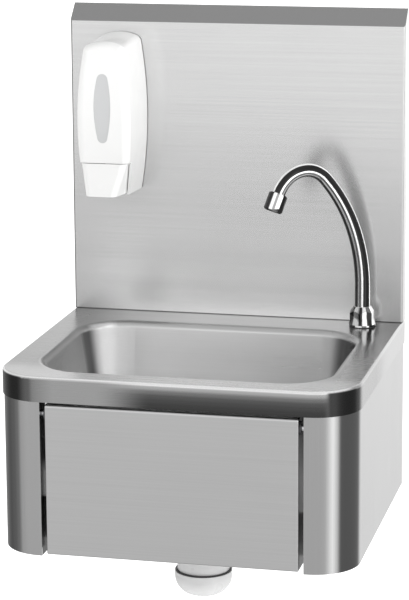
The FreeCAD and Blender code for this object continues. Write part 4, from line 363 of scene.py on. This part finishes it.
def deck_shade(nodes):
    """The deck's painted reflections and shade by place and facing, what is added to its roughness, and how
    dull it is.
    """
    low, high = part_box("deck_and_bowl")
    x, y, z = position(nodes)
    bearing, upward = facing(nodes)
    within = nodes.math("LESS_THAN", nodes.math("ABSOLUTE", x), high[0] - BOWL_SIDE_BORDER)
    inside = both(nodes, within, beyond(nodes, y, low[1] + BOWL_FRONT_BORDER))
    climb = nodes.span(z, high[2] - SKIRT_HEIGHT, high[2], 0.0, 1.0)
    left = nodes.span(x, *SKIRT_LEFT_SPAN, 1.0, 0.0, True)
    end = nodes.span(x, *SKIRT_END_SPAN, SKIRT_LEFT * SKIRT_END, SKIRT_LEFT)
    front = nodes.mix(left, nodes.ramp(climb, SKIRT_FRONT), end)
    ahead = both(
        nodes,
        nodes.span(bearing, *FRONT_RIGHT, 1.0, 0.0, True),
        nodes.span(bearing, *FRONT_LEFT, 0.0, 1.0, True),
    )
    skirt = nodes.mix(ahead, by_bearing(nodes, bearing, SKIRT_TURN), front)
    right = nodes.span(x, *BOWL_RIGHT_SPAN, 1.0, BOWL_RIGHT, True)
    below = nodes.math("SUBTRACT", z, high[2])
    under_rim = nodes.span(below, *BOWL_CLIMB_SPAN, 1.0, BOWL_CLIMB)
    bowl = nodes.mix(1.0, by_bearing(nodes, bearing, BOWL_TURN), both(nodes, right, under_rim), "MULTIPLY")
    wall_tone = nodes.mix(inside, skirt, bowl)
    leftward = nodes.math(
        "MAXIMUM",
        nodes.span(x, *BOWL_DULL_SPAN, 1.0, 0.0, True),
        beyond(nodes, nodes.math("ABSOLUTE", bearing), BOWL_FRONT_BEARING),
    )
    steep = nodes.span(upward, *BOWL_STEEP, 1.0, 0.0, True)
    dull = both(nodes, inside, leftward, steep, by_bearing(nodes, bearing, BOWL_DULL))
    rounding = both(
        nodes,
        nodes.math("SUBTRACT", 1.0, inside),
        nodes.span(upward, *EDGE_START, 0.0, 1.0),
        nodes.span(upward, *EDGE_END, 1.0, 0.0),
    )
    rear_right = both(
        nodes,
        nodes.span(x, *DECK_RIGHT_SPAN, 0.0, 1.0, True),
        nodes.span(y, *DECK_REAR_SPAN, 0.0, 1.0, True),
    )
    depth = nodes.math("SUBTRACT", y, low[1])
    back = nodes.span(depth, *DECK_FRONT_SPAN, 0.0, 1.0, True)
    flat = nodes.mix(back, grey(DECK_FRONT), grey(DECK_TOP))
    flat = nodes.mix(1.0, flat, nodes.span(x, *DECK_LEFT_SPAN, DECK_LEFT, 1.0, True), "MULTIPLY")
    flat = nodes.mix(rear_right, flat, grey(DECK_TOP * DECK_REAR_RIGHT))
    flat = nodes.mix(nodes.span(below, *BOWL_FLOOR_SPAN, 1.0, 0.0), flat, grey(BOWL_FLOOR))
    top_tone = nodes.mix(rounding, flat, by_bearing(nodes, bearing, EDGE_TURN))
    roll = both(
        nodes,
        inside,
        nodes.span(upward, *ROLL_START, 0.0, 1.0),
        nodes.span(upward, *ROLL_END, 1.0, 0.0),
    )
    upright = nodes.span(nodes.math("ABSOLUTE", upward), *WALL_SPAN, 1.0, 0.0, True)
    tone = nodes.mix(upright, top_tone, wall_tone)
    tone = nodes.mix(roll, tone, by_bearing(nodes, bearing, ROLL_TURN))
    rougher = nodes.math(
        "ADD",
        nodes.math("MULTIPLY", inside, BOWL_ROUGHER),
        nodes.math("MULTIPLY", rear_right, DECK_REAR_ROUGHER),
    )
    return tone, rougher, dull


# Painted reflections on the casing's upright sheets, by bearing
SIDE_TURN = [
    (-180, 1.0), (-86, 1.0), (-76, 0.15), (-47, 0.15), (-37, 0.27), (-30, 0.38), (-23, 0.74),
    (20, 0.74), (34, 0.95), (39, 0.9), (45, 0.27), (76, 0.27), (86, 1.0), (180, 1.0),
]
# Painted reflections and shade on the backsplash: its sloping top, its left fold in painted shade, the dark
# seam at its foot and its front by height
SPLASH_SLOPE = 0.31
SLOPE_SPAN = (0.2, 0.4)
FOLD_SPAN = (-12.0, -35.0)
SPLASH_SEAM = 0.0014
FOLD_SHADE_AND_SEAM_TONE = 0.03
SPLASH_CLIMB = [
    (0.0, 1.0), (0.05, 0.965), (0.1, 0.85), (0.21, 0.69), (0.38, 0.632), (0.5, 0.645),
    (0.65, 0.684), (0.75, 0.704), (1.0, 0.704),
]
# Painted shade: the lower ends of the backsplash are darker, from this far out and up to this share of its
# height
SPLASH_END_SPAN = (0.12, 0.2)
SPLASH_END_CLIMB = 0.5
SPLASH_END = 0.48
# The back of the backsplash has one even darker tone, a painted shade
SPLASH_BACK = 0.6
# Turns the wider blur of a brushed sheet to run across its grain
QUARTER_TURN = 0.25
FINE_SHARE = 0.75
BROAD_STRETCH = (9, 9, 9)
BRUSHED_SWING = 0.1
BRUSHED_BUMP = 0.006


# Paints reflections and shade into the backsplash's colour
def splash_colour(nodes, colour, level):
    bearing, upward = facing(nodes)
    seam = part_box("deck_and_bowl")[1][2]
    across, deep, height = position(nodes)
    climb = nodes.span(height, seam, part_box("backsplash")[1][2], 0.0, 1.0)
    ahead = nodes.math("LESS_THAN", nodes.math("ABSOLUTE", bearing), 90.0)
    tone = nodes.mix(ahead, grey(SPLASH_BACK), nodes.ramp(climb, SPLASH_CLIMB))
    colour = nodes.mix(1.0, colour, tone, "MULTIPLY")
    outward = nodes.span(nodes.math("ABSOLUTE", across), *SPLASH_END_SPAN, 0.0, 1.0, True)
    ends = both(nodes, ahead, outward, nodes.span(climb, 0.0, SPLASH_END_CLIMB, 1.0, 0.0))
    colour = nodes.mix(ends, colour, grey(level * SPLASH_END))
    colour = nodes.mix(nodes.span(upward, *SLOPE_SPAN, 0.0, 1.0), colour, grey(level * SPLASH_SLOPE))
    colour = nodes.mix(nodes.span(bearing, *FOLD_SPAN, 0.0, 1.0), colour, grey(FOLD_SHADE_AND_SEAM_TONE))
    near_seam = nodes.span(height, seam, seam + SPLASH_SEAM, 1.0, 0.0, True)
    return nodes.mix(near_seam, colour, grey(FOLD_SHADE_AND_SEAM_TONE))


def brushed_steel(name, level, rough, stretch, spread=0.025, shade=None, mirror=1.0, drag=0.0):
    """Brushed stainless sheet with streaks along the least stretched axis."""
    material, nodes, shader = new_material(name)
    fine = noise(nodes, stretch)
    broad = noise(nodes, BROAD_STRETCH, detail=2.0)
    streak = nodes.math(
        "ADD", nodes.math("MULTIPLY", fine, FINE_SHARE), nodes.math("MULTIPLY", broad, 1 - FINE_SHARE)
    )
    colour = nodes.mix(
        nodes.span(streak, *NOISE_SPAN, 0, 1), grey(level * (1 - spread)), grey(level * (1 + spread))
    )
    gloss = nodes.span(streak, *NOISE_SPAN, rough * (1 + BRUSHED_SWING), rough * (1 - BRUSHED_SWING))
    if shade == "side":
        # painted reflections by bearing on the casing's side sheets
        colour = nodes.mix(1.0, colour, by_bearing(nodes, facing(nodes)[0], SIDE_TURN), "MULTIPLY")
    if shade in ("panel", "side"):
        # painted shade on the flanges in the gaps beside the knee panel
        colour = nodes.mix(gap_shade(nodes), colour, grey(GAP_SHADE_TONE))
    if shade == "splash":
        # painted reflections and shade on the backsplash
        colour = splash_colour(nodes, colour, level)
    if shade == "deck":
        # painted reflections and shade on the deck
        tone, rougher, dull = deck_shade(nodes)
        nodes.link(nodes.math("SUBTRACT", 1.0, dull), shader.inputs["Metallic"])
        colour = nodes.mix(1.0, colour, tone, "MULTIPLY")
        gloss = nodes.math("ADD", gloss, rougher)
    nodes.link(colour, shader.inputs["Base Color"])
    nodes.link(gloss, shader.inputs["Roughness"])
    shader.inputs["Metallic"].default_value = mirror
    shader.inputs["Anisotropic"].default_value = drag
    shader.inputs["Anisotropic Rotation"].default_value = QUARTER_TURN
    bump(nodes, shader, fine, BRUSHED_BUMP, GRAIN_DEPTH)
    return material


# Painted reflections on chrome, standing for a studio of dark and bright cards: its tone by how far its
# surface faces CHROME_WAY
CHROME_WAY = (0.547, 0.292, 0.784)
CHROME_TONES = [
    (-1.0, 0.02), (-0.9, 0.10), (-0.56, 0.08), (-0.5, 0.02), (-0.46, 1.0), (-0.26, 1.0),
    (-0.2, 0.3), (-0.02, 0.3), (0.03, 1.0), (0.10, 1.0), (0.14, 0.02), (0.46, 0.02), (0.54, 0.85),
    (0.85, 0.9), (1.0, 0.4),
]
# The nut's flats get painted reflections of the same cards, so their tones run round its axis by bearing
NUT_TURN = [
    (-180, 0.3), (-110, 0.8), (-80, 0.3), (-74, 0.04), (-42, 0.05), (-34, 0.55), (-10, 0.45),
    (-5, 0.02), (7, 0.02), (12, 1.0), (28, 1.0), (33, 0.02), (54, 0.02), (60, 1.0), (86, 0.8),
    (110, 0.5), (180, 0.3),
]
# Line of the spout: foot on the deck, riser, wide sweep and arch, in metres and radians
SPOUT_FOOT = (0.156, -0.043)
SPOUT_RISER = 0.046
SWEEP_RADIUS = 0.195
SWEEP_END = math.radians(43.5)
ARCH_RADIUS = 0.0385
ARCH_END = math.radians(156)
# Painted reflections round the tube in degrees from its outer side, which slip by SLIP of the angle run
# along its bend
SLIP = 0.36
TUBE_TURN = [
    (-180, 0.05), (-140, 0.05), (-100, 0.3), (0, 0.4), (26, 0.3), (36, 0.9), (60, 0.95), (67, 0.02),
    (117, 0.02), (123, 1.0), (131, 1.0), (138, 0.32), (148, 0.28), (154, 0.6), (162, 0.5),
    (170, 0.03), (180, 0.05),
]
# Painted reflections round the aerator, measured the same way
AERATOR_TURN = [
    (-180, 0.3), (-20, 0.3), (16, 0.03), (80, 0.03), (86, 0.95), (101, 0.95), (105, 0.35),
    (116, 0.35), (121, 1.0), (142, 1.0), (148, 0.02), (170, 0.02), (180, 0.3),
]
CHROME_DARK = 0.02
CHROME_BRIGHT = 0.97
CHROME_ROUGH = 0.06
CHROME_SWING = 0.2
SMEAR_STRETCH = (70, 70, 70)
# Bright painted reflections mirror less, so that they stay bright: the tones between which this sets in, and
# the least
PALE_SPAN = (0.3, 1.0)
PALE_MIRROR = 0.12
# Upward shares between which the nut's flats give way to its top
NUT_FLAT_SPAN = (0.5, 0.75)


# A painted reflection by how far the surface faces CHROME_WAY
def chrome_painted_reflection(nodes):
    way = nodes.add("ShaderNodeVectorMath", operation="DOT_PRODUCT")
    nodes.link(nodes.add("ShaderNodeNewGeometry").outputs["Normal"], way.inputs[0])
    way.inputs[1].default_value = CHROME_WAY
    share = nodes.span(way.outputs["Value"], -1.0, 1.0, 0.0, 1.0)
    return nodes.ramp(share, [((place + 1) / 2, tone) for place, tone in CHROME_TONES])


def tube_painted_reflection(nodes, stops):
    """A painted reflection that runs in stripes along the spout, by the angle of the surface about the
    tube's own line.
    """
    x, y, z = position(nodes)
    parts = nodes.add("ShaderNodeSeparateXYZ")
    nodes.link(nodes.add("ShaderNodeTexCoord").outputs["Normal"], parts.inputs[0])
    normal_x, normal_y, normal_z = parts.outputs
    diagonal = math.sqrt(0.5)
    reach = nodes.math("MULTIPLY", nodes.math("ADD", x, y), -diagonal)
    reach = nodes.math("ADD", reach, diagonal * sum(SPOUT_FOOT))
    rise = nodes.math("SUBTRACT", z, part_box("deck_and_bowl")[1][2] + SPOUT_RISER)
    sweep = nodes.math("ARCTAN2", rise, nodes.math("SUBTRACT", SWEEP_RADIUS, reach))
    arch_reach = SWEEP_RADIUS - (SWEEP_RADIUS - ARCH_RADIUS) * math.cos(SWEEP_END)
    arch_rise = (SWEEP_RADIUS - ARCH_RADIUS) * math.sin(SWEEP_END)
    arch = nodes.math(
        "ARCTAN2", nodes.math("SUBTRACT", rise, arch_rise), nodes.math("SUBTRACT", arch_reach, reach)
    )
    past = beyond(nodes, sweep, SWEEP_END)
    bend = nodes.math(
        "ADD",
        nodes.math("MULTIPLY", past, nodes.math("MINIMUM", arch, ARCH_END)),
        nodes.math("MULTIPLY", nodes.math("SUBTRACT", 1.0, past), nodes.math("MAXIMUM", sweep, 0.0)),
    )
    along = nodes.math("MULTIPLY", nodes.math("ADD", normal_x, normal_y), diagonal)
    outward = nodes.math(
        "ADD",
        nodes.math("MULTIPLY", nodes.math("COSINE", bend), along),
        nodes.math("MULTIPLY", nodes.math("SINE", bend), normal_z),
    )
    sideways = nodes.math("MULTIPLY", nodes.math("SUBTRACT", normal_x, normal_y), diagonal)
    turn = nodes.math("ADD", nodes.math("ARCTAN2", sideways, outward), nodes.math("MULTIPLY", bend, SLIP))
    return by_bearing(nodes, nodes.math("MULTIPLY", turn, math.degrees(1)), stops)


def nut_painted_reflection(nodes):
    """The painted reflection on the spout nut's flats, by the bearing of each point about the nut's axis."""
    low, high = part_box("spout_nut")
    x, y, z = position(nodes)
    across = nodes.math("SUBTRACT", x, (low[0] + high[0]) / 2)
    ahead = nodes.math("SUBTRACT", (low[1] + high[1]) / 2, y)
    bearing = nodes.math("MULTIPLY", nodes.math("ARCTAN2", across, ahead), math.degrees(1))
    upward = facing(nodes)[1]
    upright = nodes.span(nodes.math("ABSOLUTE", upward), *NUT_FLAT_SPAN, 1.0, 0.0)
    return nodes.mix(upright, chrome_painted_reflection(nodes), by_bearing(nodes, bearing, NUT_TURN))


# Chrome whose base colour and mirror share carry the painted reflections of tone_of
def mirror_chrome(name, tone_of, *facts):
    material, nodes, shader = new_material(name)
    tone = tone_of(nodes, *facts)
    nodes.link(nodes.mix(tone, grey(CHROME_DARK), grey(CHROME_BRIGHT)), shader.inputs["Base Color"])
    nodes.link(nodes.span(tone, *PALE_SPAN, 1.0, PALE_MIRROR), shader.inputs["Metallic"])
    smear = noise(nodes, SMEAR_STRETCH)
    smooth = CHROME_ROUGH * (1 - CHROME_SWING)
    smeared = CHROME_ROUGH * (1 + CHROME_SWING)
    nodes.link(nodes.span(smear, *NOISE_SPAN, smooth, smeared), shader.inputs["Roughness"])
    return material


METAL_PATCH = (60, 60, 60)
METAL_GRAIN = (900, 900, 900)
METAL_SWING = 0.2
METAL_BUMP = 0.05
PLASTIC_PATCH = (40, 40, 40)
PLASTIC_GRAIN = (1500, 1500, 1500)
PLASTIC_SWING = 0.1
PLASTIC_BUMP = 0.08
SCATTER = (0.004, 0.004, 0.004)


def patchy(nodes, shader, patch, colour, spread, rough, swing):
    """Colour and roughness that vary a little from patch to patch."""
    low = [part * (1 - spread) for part in colour] + [1]
    high = [min(1.0, part * (1 + spread)) for part in colour] + [1]
    nodes.link(nodes.mix(patch, low, high), shader.inputs["Base Color"])
    gloss = nodes.span(patch, *NOISE_SPAN, rough * (1 - swing), rough * (1 + swing))
    nodes.link(gloss, shader.inputs["Roughness"])


def metal(name, colour, rough, wear=0.05):
    material, nodes, shader = new_material(name)
    patchy(nodes, shader, noise(nodes, METAL_PATCH, detail=4.0), colour, wear, rough, METAL_SWING)
    shader.inputs["Metallic"].default_value = 1.0
    bump(nodes, shader, noise(nodes, METAL_GRAIN), METAL_BUMP, GRAIN_DEPTH)
    return material


def plastic(name, colour, rough, grain=0.0001, coat=0.0, spread=0.02, inside=0.0):
    material, nodes, shader = new_material(name)
    patchy(nodes, shader, noise(nodes, PLASTIC_PATCH), colour, spread, rough, PLASTIC_SWING)
    shader.inputs["Coat Weight"].default_value = coat
    shader.inputs["Subsurface Weight"].default_value = inside
    shader.inputs["Subsurface Radius"].default_value = SCATTER
    bump(nodes, shader, noise(nodes, PLASTIC_GRAIN, detail=2.0), PLASTIC_BUMP, grain)
    return material


# Grain of the brushed sheets, per metre along each axis
ACROSS = (3, 560, 560)
UPRIGHT = (800, 800, 3)

LOOKS = {
    "splash": brushed_steel("splash_steel", 0.916, 0.24, ACROSS, 0.04, "splash", 0.75, 0.6),
    "deck": brushed_steel("deck_steel", 0.95, 0.28, ACROSS, 0.02, "deck"),
    "panel": brushed_steel("panel_steel", 0.56, 0.32, ACROSS, 0.04, "panel"),
    "side": brushed_steel("side_steel", 0.62, 0.22, UPRIGHT, 0.04, "side"),
    "bent": brushed_steel("bent_steel", 0.58, 0.35, ACROSS),
    "fastener": metal("fastener_steel", (0.66, 0.66, 0.68), 0.25),
    "chrome": mirror_chrome("chrome", chrome_painted_reflection),
    "nut": mirror_chrome("nut_chrome", nut_painted_reflection),
    "tube": mirror_chrome("tube_chrome", tube_painted_reflection, TUBE_TURN),
    "aerator": mirror_chrome("aerator_chrome", tube_painted_reflection, AERATOR_TURN),
    "brass": metal("nickel_plate", (0.60, 0.59, 0.56), 0.3),
    "rubber": plastic("rubber", (0.035, 0.035, 0.036), 0.6, 0.0002),
    "shell": plastic("white_shell", (0.76, 0.76, 0.755), 0.22, 0.00002, 0.4),
    "window": plastic("window_plastic", (0.50, 0.505, 0.51), 0.18, 0.00002, 0.5),
    "tank": plastic("tank_plastic", (0.84, 0.85, 0.84), 0.35, 0.00005, 0.0, 0.02, 0.3),
    "pump": plastic("pump_plastic", (0.86, 0.86, 0.85), 0.4),
    "trap": plastic("trap_plastic", (0.56, 0.56, 0.56), 0.3, 0.00005, 0.2, 0.02, 0.4),
    "dark": plastic("dark_plastic", (0.05, 0.05, 0.055), 0.4),
    "hose": metal("hose_braid", (0.55, 0.55, 0.57), 0.35, 0.2),
    "spring": metal("spring_steel", (0.5, 0.5, 0.52), 0.25),
}

SLOT_LOOKS = {
    "sheet_steel": "panel",
    "bent_steel": "bent",
    "fastener": "fastener",
    "bright_chrome": "chrome",
    "plated_brass": "brass",
    "seal_rubber": "rubber",
    "white_shell": "shell",
    "window_plastic": "window",
    "clear_tank": "tank",
    "pump_plastic": "pump",
    "trap_plastic": "trap",
    "dark_plastic": "dark",
    "hose_braid": "hose",
    "spring_steel": "spring",
}

NODE_LOOKS = {
    "backsplash": "splash",
    "deck_and_bowl": "deck",
    "left_side_panel": "side",
    "right_side_panel": "side",
    "spout_nut": "nut",
    "spout_tube": "tube",
    "aerator_housing": "aerator",
}


def dress_nodes():
    slots = {item["node"]: item["material_slot"] for item in frame["record"]["subparts"]}
    for name, node in frame["nodes"].items():
        look = NODE_LOOKS.get(name, SLOT_LOOKS[slots[name]])
        node.data.materials.clear()
        node.data.materials.append(LOOKS[look])


dress_nodes()

# Coil springs: the node each stands for, the joint that presses it, its wire and its turns
SPRINGS = [
    ("valve_return_spring", "valve_slide", 0.0012, 6),
    ("pump_spring", "pump_slide", 0.0008, 5),
]
POINTS_PER_TURN = 16
WIRE_ROUNDING = 4


def make_spring(node, joint, wire, turns):
    low, high = [Vector(corner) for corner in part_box(node)]
    middle = (low + high) / 2
    radius = (high.z - low.z - wire) / 2
    length = high.y - low.y - wire
    data = bpy.data.curves.new("coil", "CURVE")
    data.dimensions = "3D"
    data.bevel_depth = wire / 2
    data.bevel_resolution = WIRE_ROUNDING
    data.use_fill_caps = True
    spline = data.splines.new("NURBS")
    count = turns * POINTS_PER_TURN
    spline.points.add(count)
    for step in range(count + 1):
        share = step / count
        angle = share * turns * 2 * math.pi
        y = low.y + wire / 2 + length * share
        place = (middle.x + radius * math.cos(angle), y, middle.z + radius * math.sin(angle))
        spline.points[step].co = (*place, 1)
    spline.order_u = 4
    spline.use_endpoint_u = True
    curve = bpy.data.objects.new("coil", data)
    scene.collection.objects.link(curve)
    mesh = bpy.data.meshes.new_from_object(curve)
    bpy.data.objects.remove(curve)
    bpy.data.curves.remove(data)
    spring = bpy.data.objects.new(node + "_wire", mesh)
    scene.collection.objects.link(spring)
    mesh.materials.append(LOOKS["spring"])
    mesh.shade_smooth()
    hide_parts(node)
    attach(spring, "basin")
    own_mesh(spring)


for spring_facts in SPRINGS:
    make_spring(*spring_facts)

# Held hoses: a smooth route, a tube along it and a braid of crossing wires in its surface
HOSE_SIDES = 60
BRAID_STRANDS = 9
BRAID_HEIGHT = 0.00045
RING_STEP = 0.0009
ROUTE_STEPS = 24
# A run steeper than this gets its rings set out from another side
STEEP_RUN = 0.95
# Where the spout hose's climb has its last bend, as a share of its height
CLIMB_SHARE = 0.7


def route_points(places):
    data = bpy.data.curves.new("route", "CURVE")
    data.dimensions = "3D"
    data.resolution_u = ROUTE_STEPS
    spline = data.splines.new("NURBS")
    spline.points.add(len(places) - 1)
    for point, place in zip(spline.points, places):
        point.co = (*place, 1)
    spline.order_u = 3
    spline.use_endpoint_u = True
    holder = bpy.data.objects.new("route", data)
    scene.collection.objects.link(holder)
    mesh = bpy.data.meshes.new_from_object(holder)
    points = [vertex.co.copy() for vertex in mesh.vertices]
    bpy.data.objects.remove(holder)
    bpy.data.curves.remove(data)
    bpy.data.meshes.remove(mesh)
    return points


def even_points(points, step):
    """Points a set step apart along a line of points."""
    kept = [points[0]]
    left = step
    for first, second in zip(points, points[1:]):
        run = (second - first).length
        while left <= run:
            kept.append(first.lerp(second, left / run))
            left += step
        left -= run
    kept.append(points[-1])
    return kept


def make_hose(node, places, radius):
    line = even_points(route_points(places), RING_STEP)
    mesh = bpy.data.meshes.new(node + "_braid")
    work = bmesh.new()
    rings = []
    side = Vector((0, 0, 1))
    for index, place in enumerate(line):
        ahead = (line[min(index + 1, len(line) - 1)] - line[max(index - 1, 0)]).normalized()
        if abs(ahead.dot(side)) > STEEP_RUN:
            side = Vector((1, 0, 0))
        side = (side - ahead * side.dot(ahead)).normalized()
        other = ahead.cross(side)
        twist = index * RING_STEP / radius
        ring = []
        for step in range(HOSE_SIDES):
            angle = 2 * math.pi * step / HOSE_SIDES
            over = math.sin(BRAID_STRANDS * (angle + twist) / 2) ** 2
            under = math.sin(BRAID_STRANDS * (angle - twist) / 2) ** 2
            reach = radius - BRAID_HEIGHT * (1 - max(over, under))
            ring.append(work.verts.new(place + (side * math.cos(angle) + other * math.sin(angle)) * reach))
        rings.append(ring)
    for first, second in zip(rings, rings[1:]):
        for step in range(HOSE_SIDES):
            following = (step + 1) % HOSE_SIDES
            work.faces.new((first[step], first[following], second[following], second[step]))
    for face in work.faces:
        face.smooth = True
    work.to_mesh(mesh)
    work.free()
    hose = bpy.data.objects.new(node + "_braid", mesh)
    scene.collection.objects.link(hose)
    mesh.materials.append(LOOKS["hose"])
    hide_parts(node)
    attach(hose, "basin")


def make_hoses():
    low, high = [Vector(corner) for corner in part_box("mixer_hose")]
    radius = (high.x - low.x) / 2
    x = (low.x + high.x) / 2
    z = (low.z + high.z) / 2
    make_hose("mixer_hose", [(x, low.y, z), (x, (low.y + high.y) / 2, z), (x, high.y, z)], radius)
    low, high = [Vector(corner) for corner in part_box("spout_hose")]
    x = high.x - radius
    near_y = low.y + radius
    far_y = high.y - radius
    z = low.z + radius
    middle_y = (near_y + far_y) / 2
    climb = (high.z - z) * CLIMB_SHARE
    route = [
        (low.x, near_y, z),
        (x, near_y, z),
        (x, middle_y, z),
        (x, far_y, z),
        (x, far_y, z + climb),
        (x, far_y, high.z),
    ]
    make_hose("spout_hose", route, radius)


make_hoses()

FLOOR_Z = -0.62
FLOOR_HALF = 60.0
FLOOR_TONES = (0.93, 0.96)
FLOOR_PATCH = (2, 2, 2)
FLOOR_ROUGH = 0.8
FLOOR_GLOW = 0.6


def make_floor():
    mesh = bpy.data.meshes.new("floor")
    around = ((-1, -1), (1, -1), (1, 1), (-1, 1))
    corners = [(x * FLOOR_HALF, y * FLOOR_HALF, FLOOR_Z) for x, y in around]
    mesh.from_pydata(corners, [], [(0, 1, 2, 3)])
    floor = bpy.data.objects.new("floor", mesh)
    scene.collection.objects.link(floor)
    material, nodes, shader = new_material("floor_paint")
    tones = [grey(tone) for tone in FLOOR_TONES]
    nodes.link(nodes.mix(noise(nodes, FLOOR_PATCH), *tones), shader.inputs["Base Color"])
    shader.inputs["Roughness"].default_value = FLOOR_ROUGH
    shader.inputs["Emission Color"].default_value = grey(1)
    shader.inputs["Emission Strength"].default_value = FLOOR_GLOW
    mesh.materials.append(material)
    floor.visible_glossy = False


make_floor()


def area_light(name, place, target, size, power):
    data = bpy.data.lights.new(name, "AREA")
    data.shape = "DISK"
    data.size = size
    data.energy = power
    light = bpy.data.objects.new(name, data)
    scene.collection.objects.link(light)
    light.location = place
    light.rotation_euler = (Vector(target) - Vector(place)).to_track_quat("-Z", "Y").to_euler()
    light.visible_glossy = False


area_light("key", (-1.2, -2.2, 3.0), (0, -0.15, 0.1), 1.4, 5)
area_light("side", (1.9, -0.3, 0.5), (-0.1, -0.1, 0.3), 1.0, 24)
